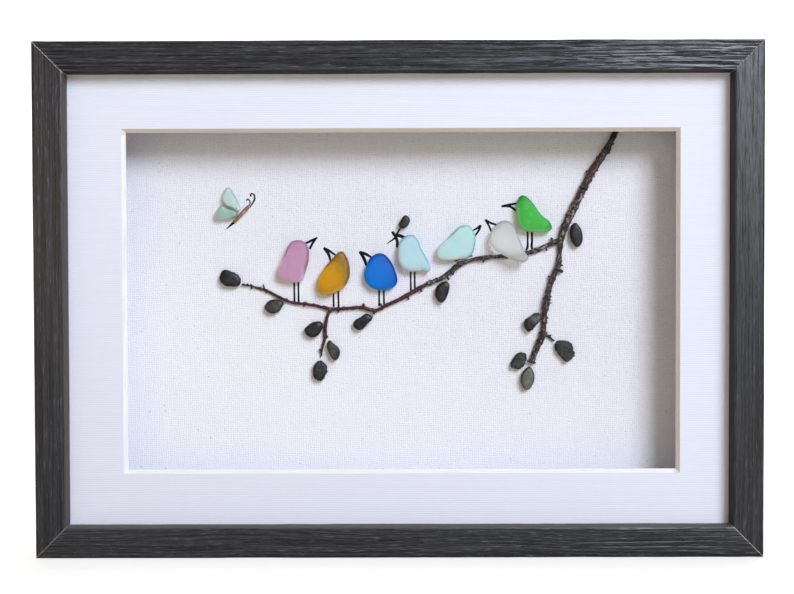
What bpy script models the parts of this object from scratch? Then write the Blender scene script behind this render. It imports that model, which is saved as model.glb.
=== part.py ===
"""Shadow-box frame with a picture of sea-glass birds on a twig, in metres, +Z up.

The box stands on its bottom edge and its front looks towards -Y. Depths are
measured from the front plane of the rails towards the back.
"""
from math import asin, cos, pi, sin

import bmesh
import bpy
from mathutils import Euler, Matrix, Vector

MM = 0.001
GAP = 0.3 * MM            # air left between two pieces that touch
FIT = 0.5 * MM            # play of a panel in the rebate and of a rivet in its hole

# Frame rails
FRAME_W = 350 * MM
FRAME_H = 248 * MM
RAIL_FACE = 15 * MM
LIP_COVER = 5 * MM        # how far the front lip reaches over the mat
LIP_DEPTH = 7 * MM
FRONT_EASE = 1.2 * MM     # rounding of the rails' front edges
BACK_EASE = 0.6 * MM

# Layers behind the lip, front to back
MAT_T = 1.8 * MM
MAT_LEFT = 26 * MM
MAT_RIGHT = 23.5 * MM
MAT_TOP = 26 * MM
MAT_BOTTOM = 24.5 * MM
SPACER_D = 19.5 * MM
SPACER_W = 4.5 * MM
CANVAS_T = 3 * MM
CANVAS_EASE = 0.6 * MM
BACK_T = 2.5 * MM
BACK_RECESS = 3.2 * MM    # from the back board to the rails' back plane

# Thin steel points that hold the back board in
TAB_W = 8 * MM
TAB_T = 0.6 * MM
TAB_SINK = 6 * MM
TAB_REACH = 10 * MM
TAB_SPREAD = 0.25         # place along a rail, as a share of its length from the middle

# Saw-tooth hanger on the back board
HANGER_W = 46 * MM
HANGER_H = 9 * MM
HANGER_T = 0.8 * MM
HANGER_FOOT = 10 * MM
HANGER_RISE = 1.2 * MM
HANGER_DROP = 24 * MM     # from the back board's top edge to the hanger's middle
TOOTH_PITCH = 2.2 * MM
TOOTH_H = 1.6 * MM
TOOTH_COUNT = 9
RIVET_R = 1.2 * MM
RIVET_HEAD_R = 2.3 * MM
RIVET_HEAD_H = 0.8 * MM

# Picture
LAYOUT_H = 167.5          # steps up the window, a step being 1 mm at the built size
GLASS_T = 5 * MM
WING_T = 3.6 * MM
PEBBLE_T = 3.8 * MM
SLATE_T = 2.8 * MM

# Mesh fineness
OUTLINE_STEPS = 3
STICK_STEPS = 2
STICK_SIDES = 2
TURN_STEPS = 12

WALL_T = RAIL_FACE - LIP_COVER
PANEL_W = FRAME_W - 2 * (WALL_T + FIT)
PANEL_H = FRAME_H - 2 * (WALL_T + FIT)
MAT_D = LIP_DEPTH + GAP
SPACER_FRONT_D = MAT_D + MAT_T + GAP
CANVAS_D = SPACER_FRONT_D + SPACER_D + GAP
BACK_D = CANVAS_D + CANVAS_T + GAP
BACK_FACE_D = BACK_D + BACK_T
FRAME_D = BACK_FACE_D + BACK_RECESS
FRONT_Y = -FRAME_D / 2
MIDDLE_Z = FRAME_H / 2
WINDOW_W = FRAME_W - 2 * RAIL_FACE - MAT_LEFT - MAT_RIGHT
WINDOW_H = FRAME_H - 2 * RAIL_FACE - MAT_TOP - MAT_BOTTOM
WINDOW_X = (MAT_LEFT - MAT_RIGHT) / 2
WINDOW_Z = MIDDLE_Z + (MAT_BOTTOM - MAT_TOP) / 2
STEP = WINDOW_H / LAYOUT_H

# Rims of the tumbled pieces: share of the half-width that curves away, and a raised middle
GLASS_RIM = (0.20, 0.05)
PEBBLE_RIM = (0.36, 0.0)
SLATE_RIM = (0.14, 0.0)


def clear_scene():
    """Remove what the scene holds."""
    for obj in list(bpy.data.objects):
        bpy.data.objects.remove(obj, do_unlink=True)


def new_collection(name):
    """Return a new collection linked to the scene."""
    collection = bpy.data.collections.new(name)
    bpy.context.scene.collection.children.link(collection)
    return collection


clear_scene()
PARTS = new_collection("framed_glass_art")
CUTTERS = new_collection("cutters")


def material(name, colour, roughness, metallic=0.0):
    """Return a Principled material of one colour."""
    made = bpy.data.materials.new(name)
    made.use_nodes = True
    shader = made.node_tree.nodes["Principled BSDF"]
    shader.inputs["Base Color"].default_value = (*colour, 1.0)
    shader.inputs["Roughness"].default_value = roughness
    shader.inputs["Metallic"].default_value = metallic
    made.diffuse_color = (*colour, 1.0)
    return made


def glass(name, colour):
    """Return a frosted see-through glass of one colour."""
    made = material(name, colour, 0.45)
    made.node_tree.nodes["Principled BSDF"].inputs["Transmission Weight"].default_value = 0.6
    return made


CHARCOAL_WOOD = material("charcoal_wood", (0.045, 0.045, 0.048), 0.45)
MAT_BOARD = material("mat_board", (0.86, 0.87, 0.89), 0.9)
SPACER_BOARD = material("spacer_board", (0.8, 0.8, 0.78), 0.9)
CANVAS_CLOTH = material("canvas_cloth", (0.84, 0.85, 0.9), 0.95)
BACK_BOARD = material("back_board", (0.2, 0.12, 0.07), 0.8)
STEEL = material("steel", (0.6, 0.6, 0.6), 0.35, 1.0)
BARK = material("bark", (0.12, 0.09, 0.075), 0.85)
DARK_PEBBLE = material("dark_pebble", (0.045, 0.048, 0.05), 0.6)
OLIVE_PEBBLE = material("olive_pebble", (0.12, 0.12, 0.09), 0.6)
SLATE = material("slate", (0.05, 0.053, 0.055), 0.8)


def add_object(name, mesh, finish, collection=PARTS):
    """Return a new object that holds the mesh, in its collection."""
    obj = bpy.data.objects.new(name, mesh)
    if finish:
        mesh.materials.append(finish)
    collection.objects.link(obj)
    return obj


def mesh_from(bm, name, smooth=False):
    """Close the bmesh into a mesh with its faces pointing out."""
    bmesh.ops.recalc_face_normals(bm, faces=bm.faces[:])
    mesh = bpy.data.meshes.new(name)
    bm.to_mesh(mesh)
    bm.free()
    if smooth:
        mesh.shade_smooth()
        mesh.set_sharp_from_angle(angle=pi / 5)
    return mesh


def block(size, centre=(0, 0, 0), ease=0.0):
    """Return a bmesh block of the size, with its edges eased if asked."""
    bm = bmesh.new()
    bmesh.ops.create_cube(bm, size=1.0)
    bmesh.ops.scale(bm, vec=size, verts=bm.verts[:])
    bmesh.ops.translate(bm, vec=centre, verts=bm.verts[:])
    if ease:
        bmesh.ops.bevel(bm, geom=bm.edges[:], offset=ease, segments=1, profile=0.5, affect="EDGES")
    return bm


def extrude_up(bm, face, vector, keep=True):
    """Extrude the face by the vector, keep the first one if it closes the shape, return the new."""
    made = bmesh.ops.extrude_face_region(bm, geom=[face])["geom"]
    verts = [item for item in made if isinstance(item, bmesh.types.BMVert)]
    bmesh.ops.translate(bm, vec=vector, verts=verts)
    if not keep:
        bmesh.ops.delete(bm, geom=[face], context="FACES_ONLY")
    return next(item for item in made if isinstance(item, bmesh.types.BMFace))


def flat_face(bm, points):
    """Return one face through the points."""
    return bm.faces.new([bm.verts.new(point) for point in points])


def cut(obj, bm, name):
    """Cut the object with the bmesh, given in the object's own frame."""
    cutter = add_object(name, mesh_from(bm, name), None, CUTTERS)
    cutter.matrix_world = obj.matrix_basis
    hide(cutter)
    use_boolean(obj, cutter, "DIFFERENCE")


def hide(obj):
    """Mark an object as a cutter."""
    obj.hide_render = True
    obj.display_type = "WIRE"


def use_boolean(obj, other, operation):
    """Add an exact Boolean modifier."""
    boolean = obj.modifiers.new(other.name, "BOOLEAN")
    boolean.operation = operation
    boolean.solver = "EXACT"
    boolean.object = other


# Frame

def rail_profile(bm, outer_z, x):
    """Return the rail's section as a face at x, outer edge at outer_z, with eased corners."""
    corners = [
        (0, 0), (RAIL_FACE, 0), (RAIL_FACE, LIP_DEPTH),
        (WALL_T, LIP_DEPTH), (WALL_T, FRAME_D), (0, FRAME_D),
    ]
    face = flat_face(bm, [(x, depth, outer_z - inward) for inward, depth in corners])
    front = face.verts[:2]
    back = face.verts[5:]
    bmesh.ops.bevel(bm, geom=front, offset=FRONT_EASE, segments=3, profile=0.5, affect="VERTICES")
    bmesh.ops.bevel(bm, geom=back, offset=BACK_EASE, segments=1, profile=0.5, affect="VERTICES")
    return bm.faces[:][0]


def mitre(bm, end_x, outer_z):
    """Cut one end of the rail at 45 degrees and close it."""
    side = 1 if end_x > 0 else -1
    play = side * GAP / 2 * 2 ** 0.5
    geom = bm.verts[:] + bm.edges[:] + bm.faces[:]
    bmesh.ops.bisect_plane(bm, geom=geom, dist=0.01 * MM, clear_outer=True,
                           plane_co=(end_x - play, 0, outer_z), plane_no=(side, 0, -1))
    edges = [edge for edge in bm.edges if edge.is_boundary]
    bmesh.ops.holes_fill(bm, edges=edges, sides=0)


def tab_centres(length):
    """Return the places of the points along one rail."""
    return [-length * TAB_SPREAD, length * TAB_SPREAD]


def rail(name, length, outer_z, turn):
    """Build one mitred rail about the frame's middle, turned about the depth axis."""
    bm = bmesh.new()
    face = rail_profile(bm, outer_z, -length / 2 - RAIL_FACE)
    extrude_up(bm, face, (length + 2 * RAIL_FACE, 0, 0))
    mitre(bm, length / 2, outer_z)
    mitre(bm, -length / 2, outer_z)
    obj = add_object(name, mesh_from(bm, name), CHARCOAL_WOOD)
    obj.location = (0, FRONT_Y, MIDDLE_Z)
    obj.rotation_euler = (0, turn, 0)
    wall_z = outer_z - WALL_T
    for index, x in enumerate(tab_centres(length), 1):
        top = wall_z + TAB_SINK + GAP
        bottom = wall_z - FIT
        size = (TAB_W + 2 * GAP, TAB_T + 2 * GAP, top - bottom)
        centre = (x, BACK_FACE_D + GAP + TAB_T / 2, (top + bottom) / 2)
        cut(obj, block(size, centre), f"{name}_slot_{index}")
        add_tab(f"{name.replace('rail', 'point')}_{index}", x, wall_z, obj)


def add_tab(name, x, wall_z, rail_obj):
    """Build one steel point in its slot, over the back board."""
    size = (TAB_W, TAB_T, TAB_SINK + TAB_REACH)
    bm = block(size, (x, BACK_FACE_D + GAP + TAB_T / 2, wall_z + (TAB_SINK - TAB_REACH) / 2))
    low = wall_z - TAB_REACH
    ends = [e for e in bm.edges if all(abs(v.co.z - low) < GAP for v in e.verts)]
    corners = [e for e in ends if abs(e.verts[0].co.x - e.verts[1].co.x) < GAP]
    bmesh.ops.bevel(bm, geom=corners, offset=TAB_W / 4, segments=3, profile=0.5, affect="EDGES")
    obj = add_object(name, mesh_from(bm, name), STEEL)
    obj.matrix_basis = rail_obj.matrix_basis


def build_frame():
    """Build the four rails and their points."""
    rail("rail_top", FRAME_W, FRAME_H / 2, 0)
    rail("rail_right", FRAME_H, FRAME_W / 2, pi / 2)
    rail("rail_bottom", FRAME_W, FRAME_H / 2, pi)
    rail("rail_left", FRAME_H, FRAME_W / 2, -pi / 2)


# Mat, spacers, canvas and back

def window_cutter():
    """Return a bmesh plug with 45-degree sides that opens towards the front."""
    over = 1 * MM
    bm = block((2, 2, 2))
    for vert in bm.verts:
        depth = -over if vert.co.y < 0 else MAT_T + over
        vert.co.x *= WINDOW_W / 2 - depth
        vert.co.z *= WINDOW_H / 2 - depth
        vert.co.y = depth - MAT_T / 2
    bmesh.ops.translate(bm, vec=(WINDOW_X, 0, WINDOW_Z - MIDDLE_Z), verts=bm.verts[:])
    return bm


def build_mat():
    """Build the mat with its bevelled window."""
    obj = add_object("mat", mesh_from(block((PANEL_W, MAT_T, PANEL_H)), "mat"), MAT_BOARD)
    obj.location = (0, FRONT_Y + MAT_D + MAT_T / 2, MIDDLE_Z)
    cut(obj, window_cutter(), "mat_window")


def build_spacers():
    """Build the four strips that hold the mat off the canvas."""
    y = FRONT_Y + SPACER_FRONT_D + SPACER_D / 2
    side_h = PANEL_H - 2 * (SPACER_W + GAP)
    strips = {
        "spacer_top": (0, 1, PANEL_W, SPACER_W),
        "spacer_bottom": (0, -1, PANEL_W, SPACER_W),
        "spacer_left": (-1, 0, SPACER_W, side_h),
        "spacer_right": (1, 0, SPACER_W, side_h),
    }
    for name, (side_x, side_z, width, height) in strips.items():
        obj = add_object(name, mesh_from(block((width, SPACER_D, height)), name), SPACER_BOARD)
        x = side_x * (PANEL_W - SPACER_W) / 2
        z = side_z * (PANEL_H - SPACER_W) / 2
        obj.location = (x, y, MIDDLE_Z + z)


def build_canvas():
    """Build the panel that carries the picture."""
    bm = block((PANEL_W, CANVAS_T, PANEL_H), ease=CANVAS_EASE)
    obj = add_object("canvas_panel", mesh_from(bm, "canvas_panel"), CANVAS_CLOTH)
    obj.location = (0, FRONT_Y + CANVAS_D + CANVAS_T / 2, MIDDLE_Z)


def rod_along_y(radius, length, x, z):
    """Return a bmesh cylinder along the depth axis."""
    bm = bmesh.new()
    turn = Matrix.Translation((x, 0, z)) @ Matrix.Rotation(pi / 2, 4, "X")
    bmesh.ops.create_cone(bm, cap_ends=True, segments=TURN_STEPS, radius1=radius,
                          radius2=radius, depth=length, matrix=turn)
    return bm


def rivet_xs():
    """Return the rivets' places along the hanger."""
    x = (HANGER_W - HANGER_FOOT) / 2
    return [-x, x]


def build_back():
    """Build the back board with its rivet holes, the hanger and the rivets."""
    board = add_object("back_board", mesh_from(block((PANEL_W, BACK_T, PANEL_H)), "back_board"),
                       BACK_BOARD)
    board.location = (0, FRONT_Y + BACK_D + BACK_T / 2, MIDDLE_Z)
    hanger_z = PANEL_H / 2 - HANGER_DROP
    for index, x in enumerate(rivet_xs(), 1):
        rod = rod_along_y(RIVET_R + GAP, 2 * BACK_T, x, hanger_z)
        cut(board, rod, f"board_hole_{index}")
    build_hanger(FRONT_Y + BACK_FACE_D + GAP, MIDDLE_Z + hanger_z)


def hanger_strip():
    """Return a bmesh sheet with flat feet and a raised middle."""
    ramp = 2 * HANGER_RISE
    foot = HANGER_W / 2 - HANGER_FOOT
    half = [(HANGER_W / 2, 0), (foot, 0), (foot - ramp, HANGER_RISE)]
    line = [(-x, y) for x, y in half] + half[::-1]
    bm = bmesh.new()
    verts = [bm.verts.new((x, y, -HANGER_H / 2)) for x, y in line]
    edges = [bm.edges.new(pair) for pair in zip(verts, verts[1:])]
    made = bmesh.ops.extrude_edge_only(bm, edges=edges)["geom"]
    top = [item for item in made if isinstance(item, bmesh.types.BMVert)]
    bmesh.ops.translate(bm, vec=(0, 0, HANGER_H), verts=top)
    for face in bm.faces:
        face.normal_update()
        if face.normal.y < 0:
            face.normal_flip()
    return bm


def saw_cutter():
    """Return a bmesh zigzag bar that cuts the teeth into the hanger's lower edge."""
    low = -HANGER_H / 2 - TOOTH_H
    start = -TOOTH_COUNT * TOOTH_PITCH / 2
    points = [(start, 0, low)]
    for tooth in range(TOOTH_COUNT):
        peak_x = start + (tooth + 0.5) * TOOTH_PITCH
        points.append((peak_x, 0, -HANGER_H / 2 + TOOTH_H))
        points.append((peak_x + TOOTH_PITCH / 2, 0, -HANGER_H / 2 - GAP))
    points.append((-start, 0, low))
    bm = bmesh.new()
    face = flat_face(bm, points)
    extrude_up(bm, face, (0, 4 * HANGER_RISE + HANGER_T, 0))
    bmesh.ops.translate(bm, vec=(0, -HANGER_RISE, 0), verts=bm.verts[:])
    return bm


def build_hanger(y, z):
    """Build the saw-tooth hanger on the back board at y, with its two rivets."""
    bm = hanger_strip()
    mesh = bpy.data.meshes.new("hanger")
    bm.to_mesh(mesh)
    bm.free()
    obj = add_object("hanger", mesh, STEEL)
    obj.location = (0, y, z)
    wall = obj.modifiers.new("wall", "SOLIDIFY")
    wall.thickness = HANGER_T
    wall.offset = 1
    cut(obj, saw_cutter(), "hanger_teeth")
    for index, x in enumerate(rivet_xs(), 1):
        cut(obj, rod_along_y(RIVET_R + GAP, 8 * HANGER_T, x, 0), f"hanger_hole_{index}")
        add_rivet(f"rivet_{index}", x, y + HANGER_T + GAP, z)


def add_rivet(name, x, y, z):
    """Build one round-headed rivet whose head starts at depth y."""
    shank = HANGER_T + 2 * GAP + BACK_T
    profile = [
        (0, RIVET_HEAD_H), (RIVET_HEAD_R * 0.6, RIVET_HEAD_H * 0.8),
        (RIVET_HEAD_R, RIVET_HEAD_H * 0.2), (RIVET_HEAD_R, 0),
        (RIVET_R, 0), (RIVET_R, -shank), (0, -shank),
    ]
    mesh = bpy.data.meshes.new(name)
    mesh.from_pydata([(r, 0, h) for r, h in profile], [(i, i + 1) for i in range(6)], [])
    obj = add_object(name, mesh, STEEL)
    obj.location = (x, y, z)
    obj.rotation_euler = (-pi / 2, 0, 0)
    turned = obj.modifiers.new("turned", "SCREW")
    turned.steps = TURN_STEPS
    turned.render_steps = TURN_STEPS
    turned.use_merge_vertices = True
    turned.merge_threshold = 0.01 * MM
    turned.use_smooth_shade = True


# Picture: everything lies on the canvas, its own flat side on the cloth

def layout_place(x, z, lift=0.0):
    """Return the world place of a layout point, lifted off the canvas."""
    return Vector((x * STEP, FRONT_Y + CANVAS_D - GAP - lift, MIDDLE_Z + z * STEP))


def mesh_of_curve(curve):
    """Return the evaluated mesh of a curve and remove the curve."""
    obj = bpy.data.objects.new(curve.name, curve)
    bpy.context.scene.collection.objects.link(obj)
    graph = bpy.context.evaluated_depsgraph_get()
    mesh = bpy.data.meshes.new_from_object(obj.evaluated_get(graph))
    bpy.data.objects.remove(obj, do_unlink=True)
    return mesh


def smooth_spline(curve, points, cyclic):
    """Add a spline that runs smoothly through (x, y, height, radius) points."""
    spline = curve.splines.new("BEZIER")
    spline.use_cyclic_u = cyclic
    spline.bezier_points.add(len(points) - 1)
    for knot, (x, y, height, radius) in zip(spline.bezier_points, points):
        knot.co = (x, y, height)
        knot.radius = radius
        knot.handle_left_type = "AUTO"
        knot.handle_right_type = "AUTO"


def outline_face(bm, name, outline):
    """Return the face inside a smooth closed outline given in layout steps."""
    curve = bpy.data.curves.new(name, "CURVE")
    curve.dimensions = "2D"
    curve.fill_mode = "NONE"
    curve.resolution_u = OUTLINE_STEPS
    smooth_spline(curve, [(x * STEP, y * STEP, 0, 1) for x, y in outline], cyclic=True)
    mesh = mesh_of_curve(curve)
    bm.from_mesh(mesh)
    bmesh.ops.remove_doubles(bm, verts=bm.verts[:], dist=0.01 * MM)
    bmesh.ops.contextual_create(bm, geom=bm.edges[:])
    return bm.faces[:][0]


def rim_rings(thickness, rim, crown):
    """Return (height, width share) of each ring of a tumbled piece, from its underside up."""
    rings = []
    for quarter in range(5):
        angle = (quarter - 2) * pi / 4
        rings.append((thickness / 2 * (1 + sin(angle)), 1 - rim + rim * cos(angle)))
    if crown:
        rings.append((thickness * (1 + crown), (1 - rim) / 2))
    return rings


def tumbled(name, at, outline, thickness, rim, finish):
    """Build one worn piece: a smooth outline with a round rim, lying on the canvas."""
    bm = bmesh.new()
    face = outline_face(bm, name, outline)
    centre = Matrix.Translation(-face.calc_center_bounds())
    last_height, last_share = 0.0, 1.0
    for height, share in rim_rings(thickness, *rim):
        scale = share / last_share
        if height > 0:
            face = extrude_up(bm, face, (0, 0, height - last_height), keep=last_height == 0)
        bmesh.ops.scale(bm, vec=(scale, scale, 1), verts=face.verts[:], space=centre)
        last_height, last_share = height, share
    obj = add_object(name, mesh_from(bm, name, smooth=True), finish)
    obj.location = layout_place(*at)
    obj.rotation_euler = (pi / 2, 0, 0)
    return obj


def stick(name, path):
    """Return a welded mesh of a round stick along (x, z, radius) points, lying on the canvas."""
    curve = bpy.data.curves.new(name, "CURVE")
    curve.dimensions = "3D"
    curve.bevel_depth = STEP
    curve.bevel_resolution = STICK_SIDES
    curve.resolution_u = STICK_STEPS
    curve.use_fill_caps = True
    smooth_spline(curve, [(x * STEP, z * STEP, r * STEP, r) for x, z, r in path], cyclic=False)
    bm = bmesh.new()
    bm.from_mesh(mesh_of_curve(curve))
    bmesh.ops.remove_doubles(bm, verts=bm.verts[:], dist=0.01 * MM)
    return mesh_from(bm, name, smooth=True)


TRUNK = [
    (110, 85.8, 1.3), (104.9, 75.2, 1.7), (97.7, 64.5, 1.9), (92.5, 54.2, 1.9),
    (87.4, 43.9, 1.9), (83.7, 36.3, 1.8), (81.6, 29, 1.5), (81.2, 22, 1.1),
    (80.3, 16.4, 1.45), (77.3, 9.6, 1.4), (75, 1.6, 1.6), (74.2, -3, 1.9),
    (73.6, -8, 1.3), (73, -15.5, 1.35), (72, -19.6, 1.7), (69.6, -25.1, 1.4),
    (66.8, -32.7, 1.4),
]
BRANCH = [
    (82.2, 29.4, 1.2), (78.2, 28.3, 1.3), (72, 25.3, 1.2), (65, 23, 1.2),
    (57.3, 21.5, 1.2), (49, 21.1, 0.95), (42.7, 20.5, 1.25), (34.4, 18.8, 0.9),
    (30.4, 16.9, 1.4), (26.5, 14, 1.3), (21.1, 10.1, 1.1), (14, 7.4, 1),
    (4.7, 1.9, 1.1), (-6.6, -3.3, 0.9), (-12, -5.9, 0.95), (-18.2, -4.2, 1),
    (-25.7, -4.7, 0.8), (-34.3, -5, 0.95), (-42.3, -3.1, 0.75), (-51.9, -2, 0.75),
    (-56.8, -0.8, 0.75), (-64.8, 3.4, 0.65), (-74.8, 6.8, 0.45), (-78.2, 7.3, 0.45),
]
DROOP = [
    (-33.6, -4.9, 0.85), (-35.6, -7.4, 0.85), (-36.8, -11.5, 0.9), (-37.1, -16, 0.9),
    (-37.2, -19.5, 0.8), (-38.4, -23.3, 0.7), (-39.4, -29.2, 0.5),
]
SIDE_SHOOTS = {
    "shoot_low": [(72, -17, 0.9), (75.2, -18.9, 0.7), (78.2, -21.4, 0.4)],
    "shoot_leaf": [(-37.1, -17.6, 0.7), (-36.1, -19.3, 0.5)],
    "shoot_tip": [(-67.4, 4.4, 0.6), (-67.9, 5.8, 0.5), (-68.4, 7.6, 0.3)],
}


def build_twig():
    """Build the forked twig as one solid: trunk, long branch, drooping twig and shoots."""
    obj = add_object("twig", stick("twig", TRUNK), BARK)
    obj.location = layout_place(0, 0)
    obj.rotation_euler = (pi / 2, 0, 0)
    limbs = {"branch": BRANCH, "droop": DROOP, **SIDE_SHOOTS}
    for name, path in limbs.items():
        limb = add_object(name, stick(name, path), None, CUTTERS)
        limb.matrix_basis = obj.matrix_basis
        hide(limb)
        use_boolean(obj, limb, "UNION")


# Each glass bird: place of its middle, its worn outline and its colour
BIRDS = {
    "bird_pink": (
        (-52.9, 18.9), (0.60, 0.34, 0.49),
        [(1.5, 10.9), (6.3, 9.4), (8, 5.2), (6.3, -4.8), (3.8, -10.1), (-4, -9.7), (-8.1, -7),
         (-4.9, 2.2), (-1.8, 9.2)],
    ),
    "bird_amber": (
        (-32.8, 12.9), (0.62, 0.33, 0.01),
        [(4.2, 11.2), (0, 8), (-6.7, -0.5), (-8.5, -6.8), (-5.8, -10.9), (2.4, -9), (7.1, -4.8),
         (8.2, 3.2), (6.2, 9.3)],
    ),
    "bird_blue": (
        (-8.9, 13.6), (0.005, 0.17, 0.78),
        [(-0.3, 9.5), (-4.5, 7.9), (-7.4, 3.1), (-8.5, -2.3), (-6.1, -7.3), (-1.1, -9.1),
         (4.9, -8.7), (8.2, -5.8), (7.7, -1), (3.4, 7.5)],
    ),
    "bird_pale_blue": (
        (7.5, 22.7), (0.42, 0.68, 0.80),
        [(-0.9, 9.7), (-6.4, 6.9), (-8.1, 1.4), (-7, -5.8), (-2.5, -9.1), (4.2, -8.6),
         (7.9, -9.2), (8.6, -7.9), (3.9, 2.7), (0.8, 8.9)],
    ),
    "bird_aqua": (
        (29.6, 27.2), (0.45, 0.75, 0.73),
        [(4.5, 10), (8.8, 5.5), (9.1, 0.4), (6.4, -5.8), (0.9, -7.4), (-6.3, -8.2), (-10.9, -6),
         (-10, -2.1), (-4.9, 3.3)],
    ),
    "bird_green": (
        (66.4, 41.3), (0.04, 0.48, 0.05),
        [(-4.6, 10.5), (-1.6, 9.3), (4.9, 1), (10.7, -5), (9.9, -7.3), (3.6, -8.1), (-5, -6.2),
         (-7.1, 0.3), (-6.9, 7.5)],
    ),
}
BIRD_WHITE = (
    (54.8, 28.2), (0.70, 0.74, 0.69),
    [(-1.5, 10.8), (2.2, 8.9), (5.4, 2), (8.1, -5), (10, -9), (7, -11), (0.4, -8.6),
     (-7.3, -3.4), (-9.3, 1.2), (-6.1, 8.1)],
)
WINGS = {
    "wing_upper": (
        (-84.1, 50.4), (0.50, 0.68, 0.60),
        [(-1.3, 6.2), (-3.8, 3.7), (-3.4, -2.6), (1, -4.7), (4, -6.3), (4.3, -3.7), (0.6, 3.7)],
    ),
    "wing_lower": (
        (-86.6, 43.3), (0.26, 0.49, 0.38),
        [(-2, 3.9), (-5.8, -0.5), (-5.6, -2.4), (-0.5, -3.1), (5.2, -1.7), (6, 0), (1.2, 2.2)],
    ),
}


def build_glass():
    """Build the birds, the white one leaning on the twig, and the butterfly's wings."""
    for name, (at, colour, outline) in BIRDS.items():
        tumbled(name, at, outline, GLASS_T, GLASS_RIM, glass(name, colour))
    for name, (at, colour, outline) in WINGS.items():
        tumbled(name, at, outline, WING_T, GLASS_RIM, glass(name, colour))
    at, colour, outline = BIRD_WHITE
    white = tumbled("bird_white", at, outline, GLASS_T, GLASS_RIM, glass("bird_white", colour))
    lean_on_twig(white, at, outline)


def lean_on_twig(obj, at, outline):
    """Tip the piece about its upper edge until its underside clears the branch below it."""
    crossing_x, crossing_z, radius = min(BRANCH, key=lambda point: abs(point[0] - at[0]))
    hinge = max(y for x, y in outline) * (1 - GLASS_RIM[0])
    reach = (at[1] + hinge - crossing_z) * STEP
    lean = asin((2 * radius * STEP + GAP) / reach)
    turn = Euler((pi / 2 - lean, 0, 0))
    hinge_place = layout_place(at[0], at[1] + hinge)
    obj.rotation_euler = turn
    obj.location = hinge_place - turn.to_matrix() @ Vector((0, hinge * STEP, 0))


# Each pebble: place of its middle and its outline; the leaves run from left to right
PEBBLES = {
    "pebble_1": ((-84.8, 10.4), [(-3.3, 4.5), (-5.5, 1.5), (-4.5, -2.3), (1.2, -4.2),
                                 (5.1, -2.8), (4.9, 0.8), (0.8, 3.6)]),
    "pebble_2": ((-62.6, -3.8), [(-5.1, 0), (-3.6, 2.5), (1.6, 3.7), (4.7, 2), (4.6, 0.5),
                                 (0.8, -3.4), (-2, -3.6), (-4.2, -1.9)]),
    "pebble_3": ((-42.8, -15.3), [(-5, -0.8), (-4, 1.3), (2.2, 4.3), (4.2, 3.2), (4, -0.5),
                                  (1, -3.7), (-2.5, -3.9)]),
    "pebble_4": ((-33, -25.7), [(-1.8, 5.1), (-0.3, 4), (2.9, 0.8), (3.2, -3.2), (0.9, -5.3),
                                (-1.6, -3), (-3.2, 3.2)]),
    "pebble_5": ((-39.8, -35.9), [(0, 5.2), (2.2, 4.1), (3.9, 1.1), (3.9, -0.8), (2.6, -2.8),
                                  (2.2, -4.5), (-0.2, -5.5), (-3.1, -3.9), (-3.7, -0.5),
                                  (-2.2, 4)]),
    "pebble_6": ((-18.2, -11.6), [(-5, -1.8), (-4, 0.8), (-1, 2.5), (1.8, 4.4), (4, 3.5),
                                  (5.1, 2.2), (2.7, -1), (-1.3, -4.2), (-4, -3.2)]),
    "pebble_7": ((22.1, 3.6), [(1.2, 5.2), (3.4, 4.1), (3.5, 1.2), (1.6, -4), (-0.9, -5.7),
                               (-3.2, -4), (-4, -0.3), (-2.2, 3.4)]),
    "pebble_8": ((89.4, 31.7), [(-0.6, 6.4), (-3.2, 3.3), (-3.2, -1.2), (-1.4, -5), (0.9, -6),
                                (3.1, -3.5), (3.1, 1), (1.4, 5)]),
    "pebble_9": ((67.4, -11.9), [(-4.6, 0.1), (-1.5, 3), (1.8, 5), (4.1, 4), (4.3, 1.8),
                                 (1.3, -2), (-1.3, -5.1), (-3.1, -4.2)]),
    "pebble_12": ((64.8, -40.2), [(0.6, 6), (2.7, 4.4), (3.5, 0.5), (2.6, -3.5), (-0.3, -6.2),
                                  (-2.9, -3.2), (-3.5, 0.5), (-1.9, 4)]),
    "pebble_sprig": ((3.1, 38.8), [(0.4, 3.4), (2.4, 1.8), (2.7, -0.2), (-0.4, -3.4),
                                   (-2.8, -2.7), (-2, 1)]),
}
SLATES = {
    "slate_10": ((83.6, -26.5), [(-4.6, 4.6), (-2.1, 5.4), (3.6, 3.7), (4.4, 1.1), (5.4, -2.2),
                                 (3.8, -3.5), (3.1, -5), (1.1, -5.6), (-1.9, -3.1),
                                 (-5.1, 1.4)]),
    "slate_11": ((60.6, -31.6), [(-4.3, -2.8), (-2.5, 2.2), (-0.8, 4), (3.2, 4.1), (4.1, 1.8),
                                 (2.8, -2), (0.7, -3.8), (-3.2, -3.8)]),
}
OLIVE = ("pebble_12", "pebble_sprig")


def build_pebbles():
    """Build the pebble leaves and the two flat slate leaves."""
    for name, (at, outline) in PEBBLES.items():
        finish = OLIVE_PEBBLE if name in OLIVE else DARK_PEBBLE
        tumbled(name, at, outline, PEBBLE_T, PEBBLE_RIM, finish)
    for name, (at, outline) in SLATES.items():
        tumbled(name, at, outline, SLATE_T, SLATE_RIM, SLATE)


def build_butterfly_body():
    """Build the short tapered stick between the glass wings."""
    path = [(-75.4, 46.9, 0.9), (-79, 43, 1), (-82.9, 38.6, 0.6)]
    obj = add_object("butterfly_body", stick("butterfly_body", path), BARK)
    obj.location = layout_place(0, 0)
    obj.rotation_euler = (pi / 2, 0, 0)


build_frame()
build_mat()
build_spacers()
build_canvas()
build_back()
build_twig()
build_glass()
build_pebbles()
build_butterfly_body()
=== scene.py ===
"""Looks of the framed glass art: a charcoal box frame around sea-glass birds on a twig.

Lengths are in metres unless a name says otherwise. The picture is laid out in steps
from the middle of the frame, across and up; a step is a millimetre on the canvas.
"""
from __future__ import annotations

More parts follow.
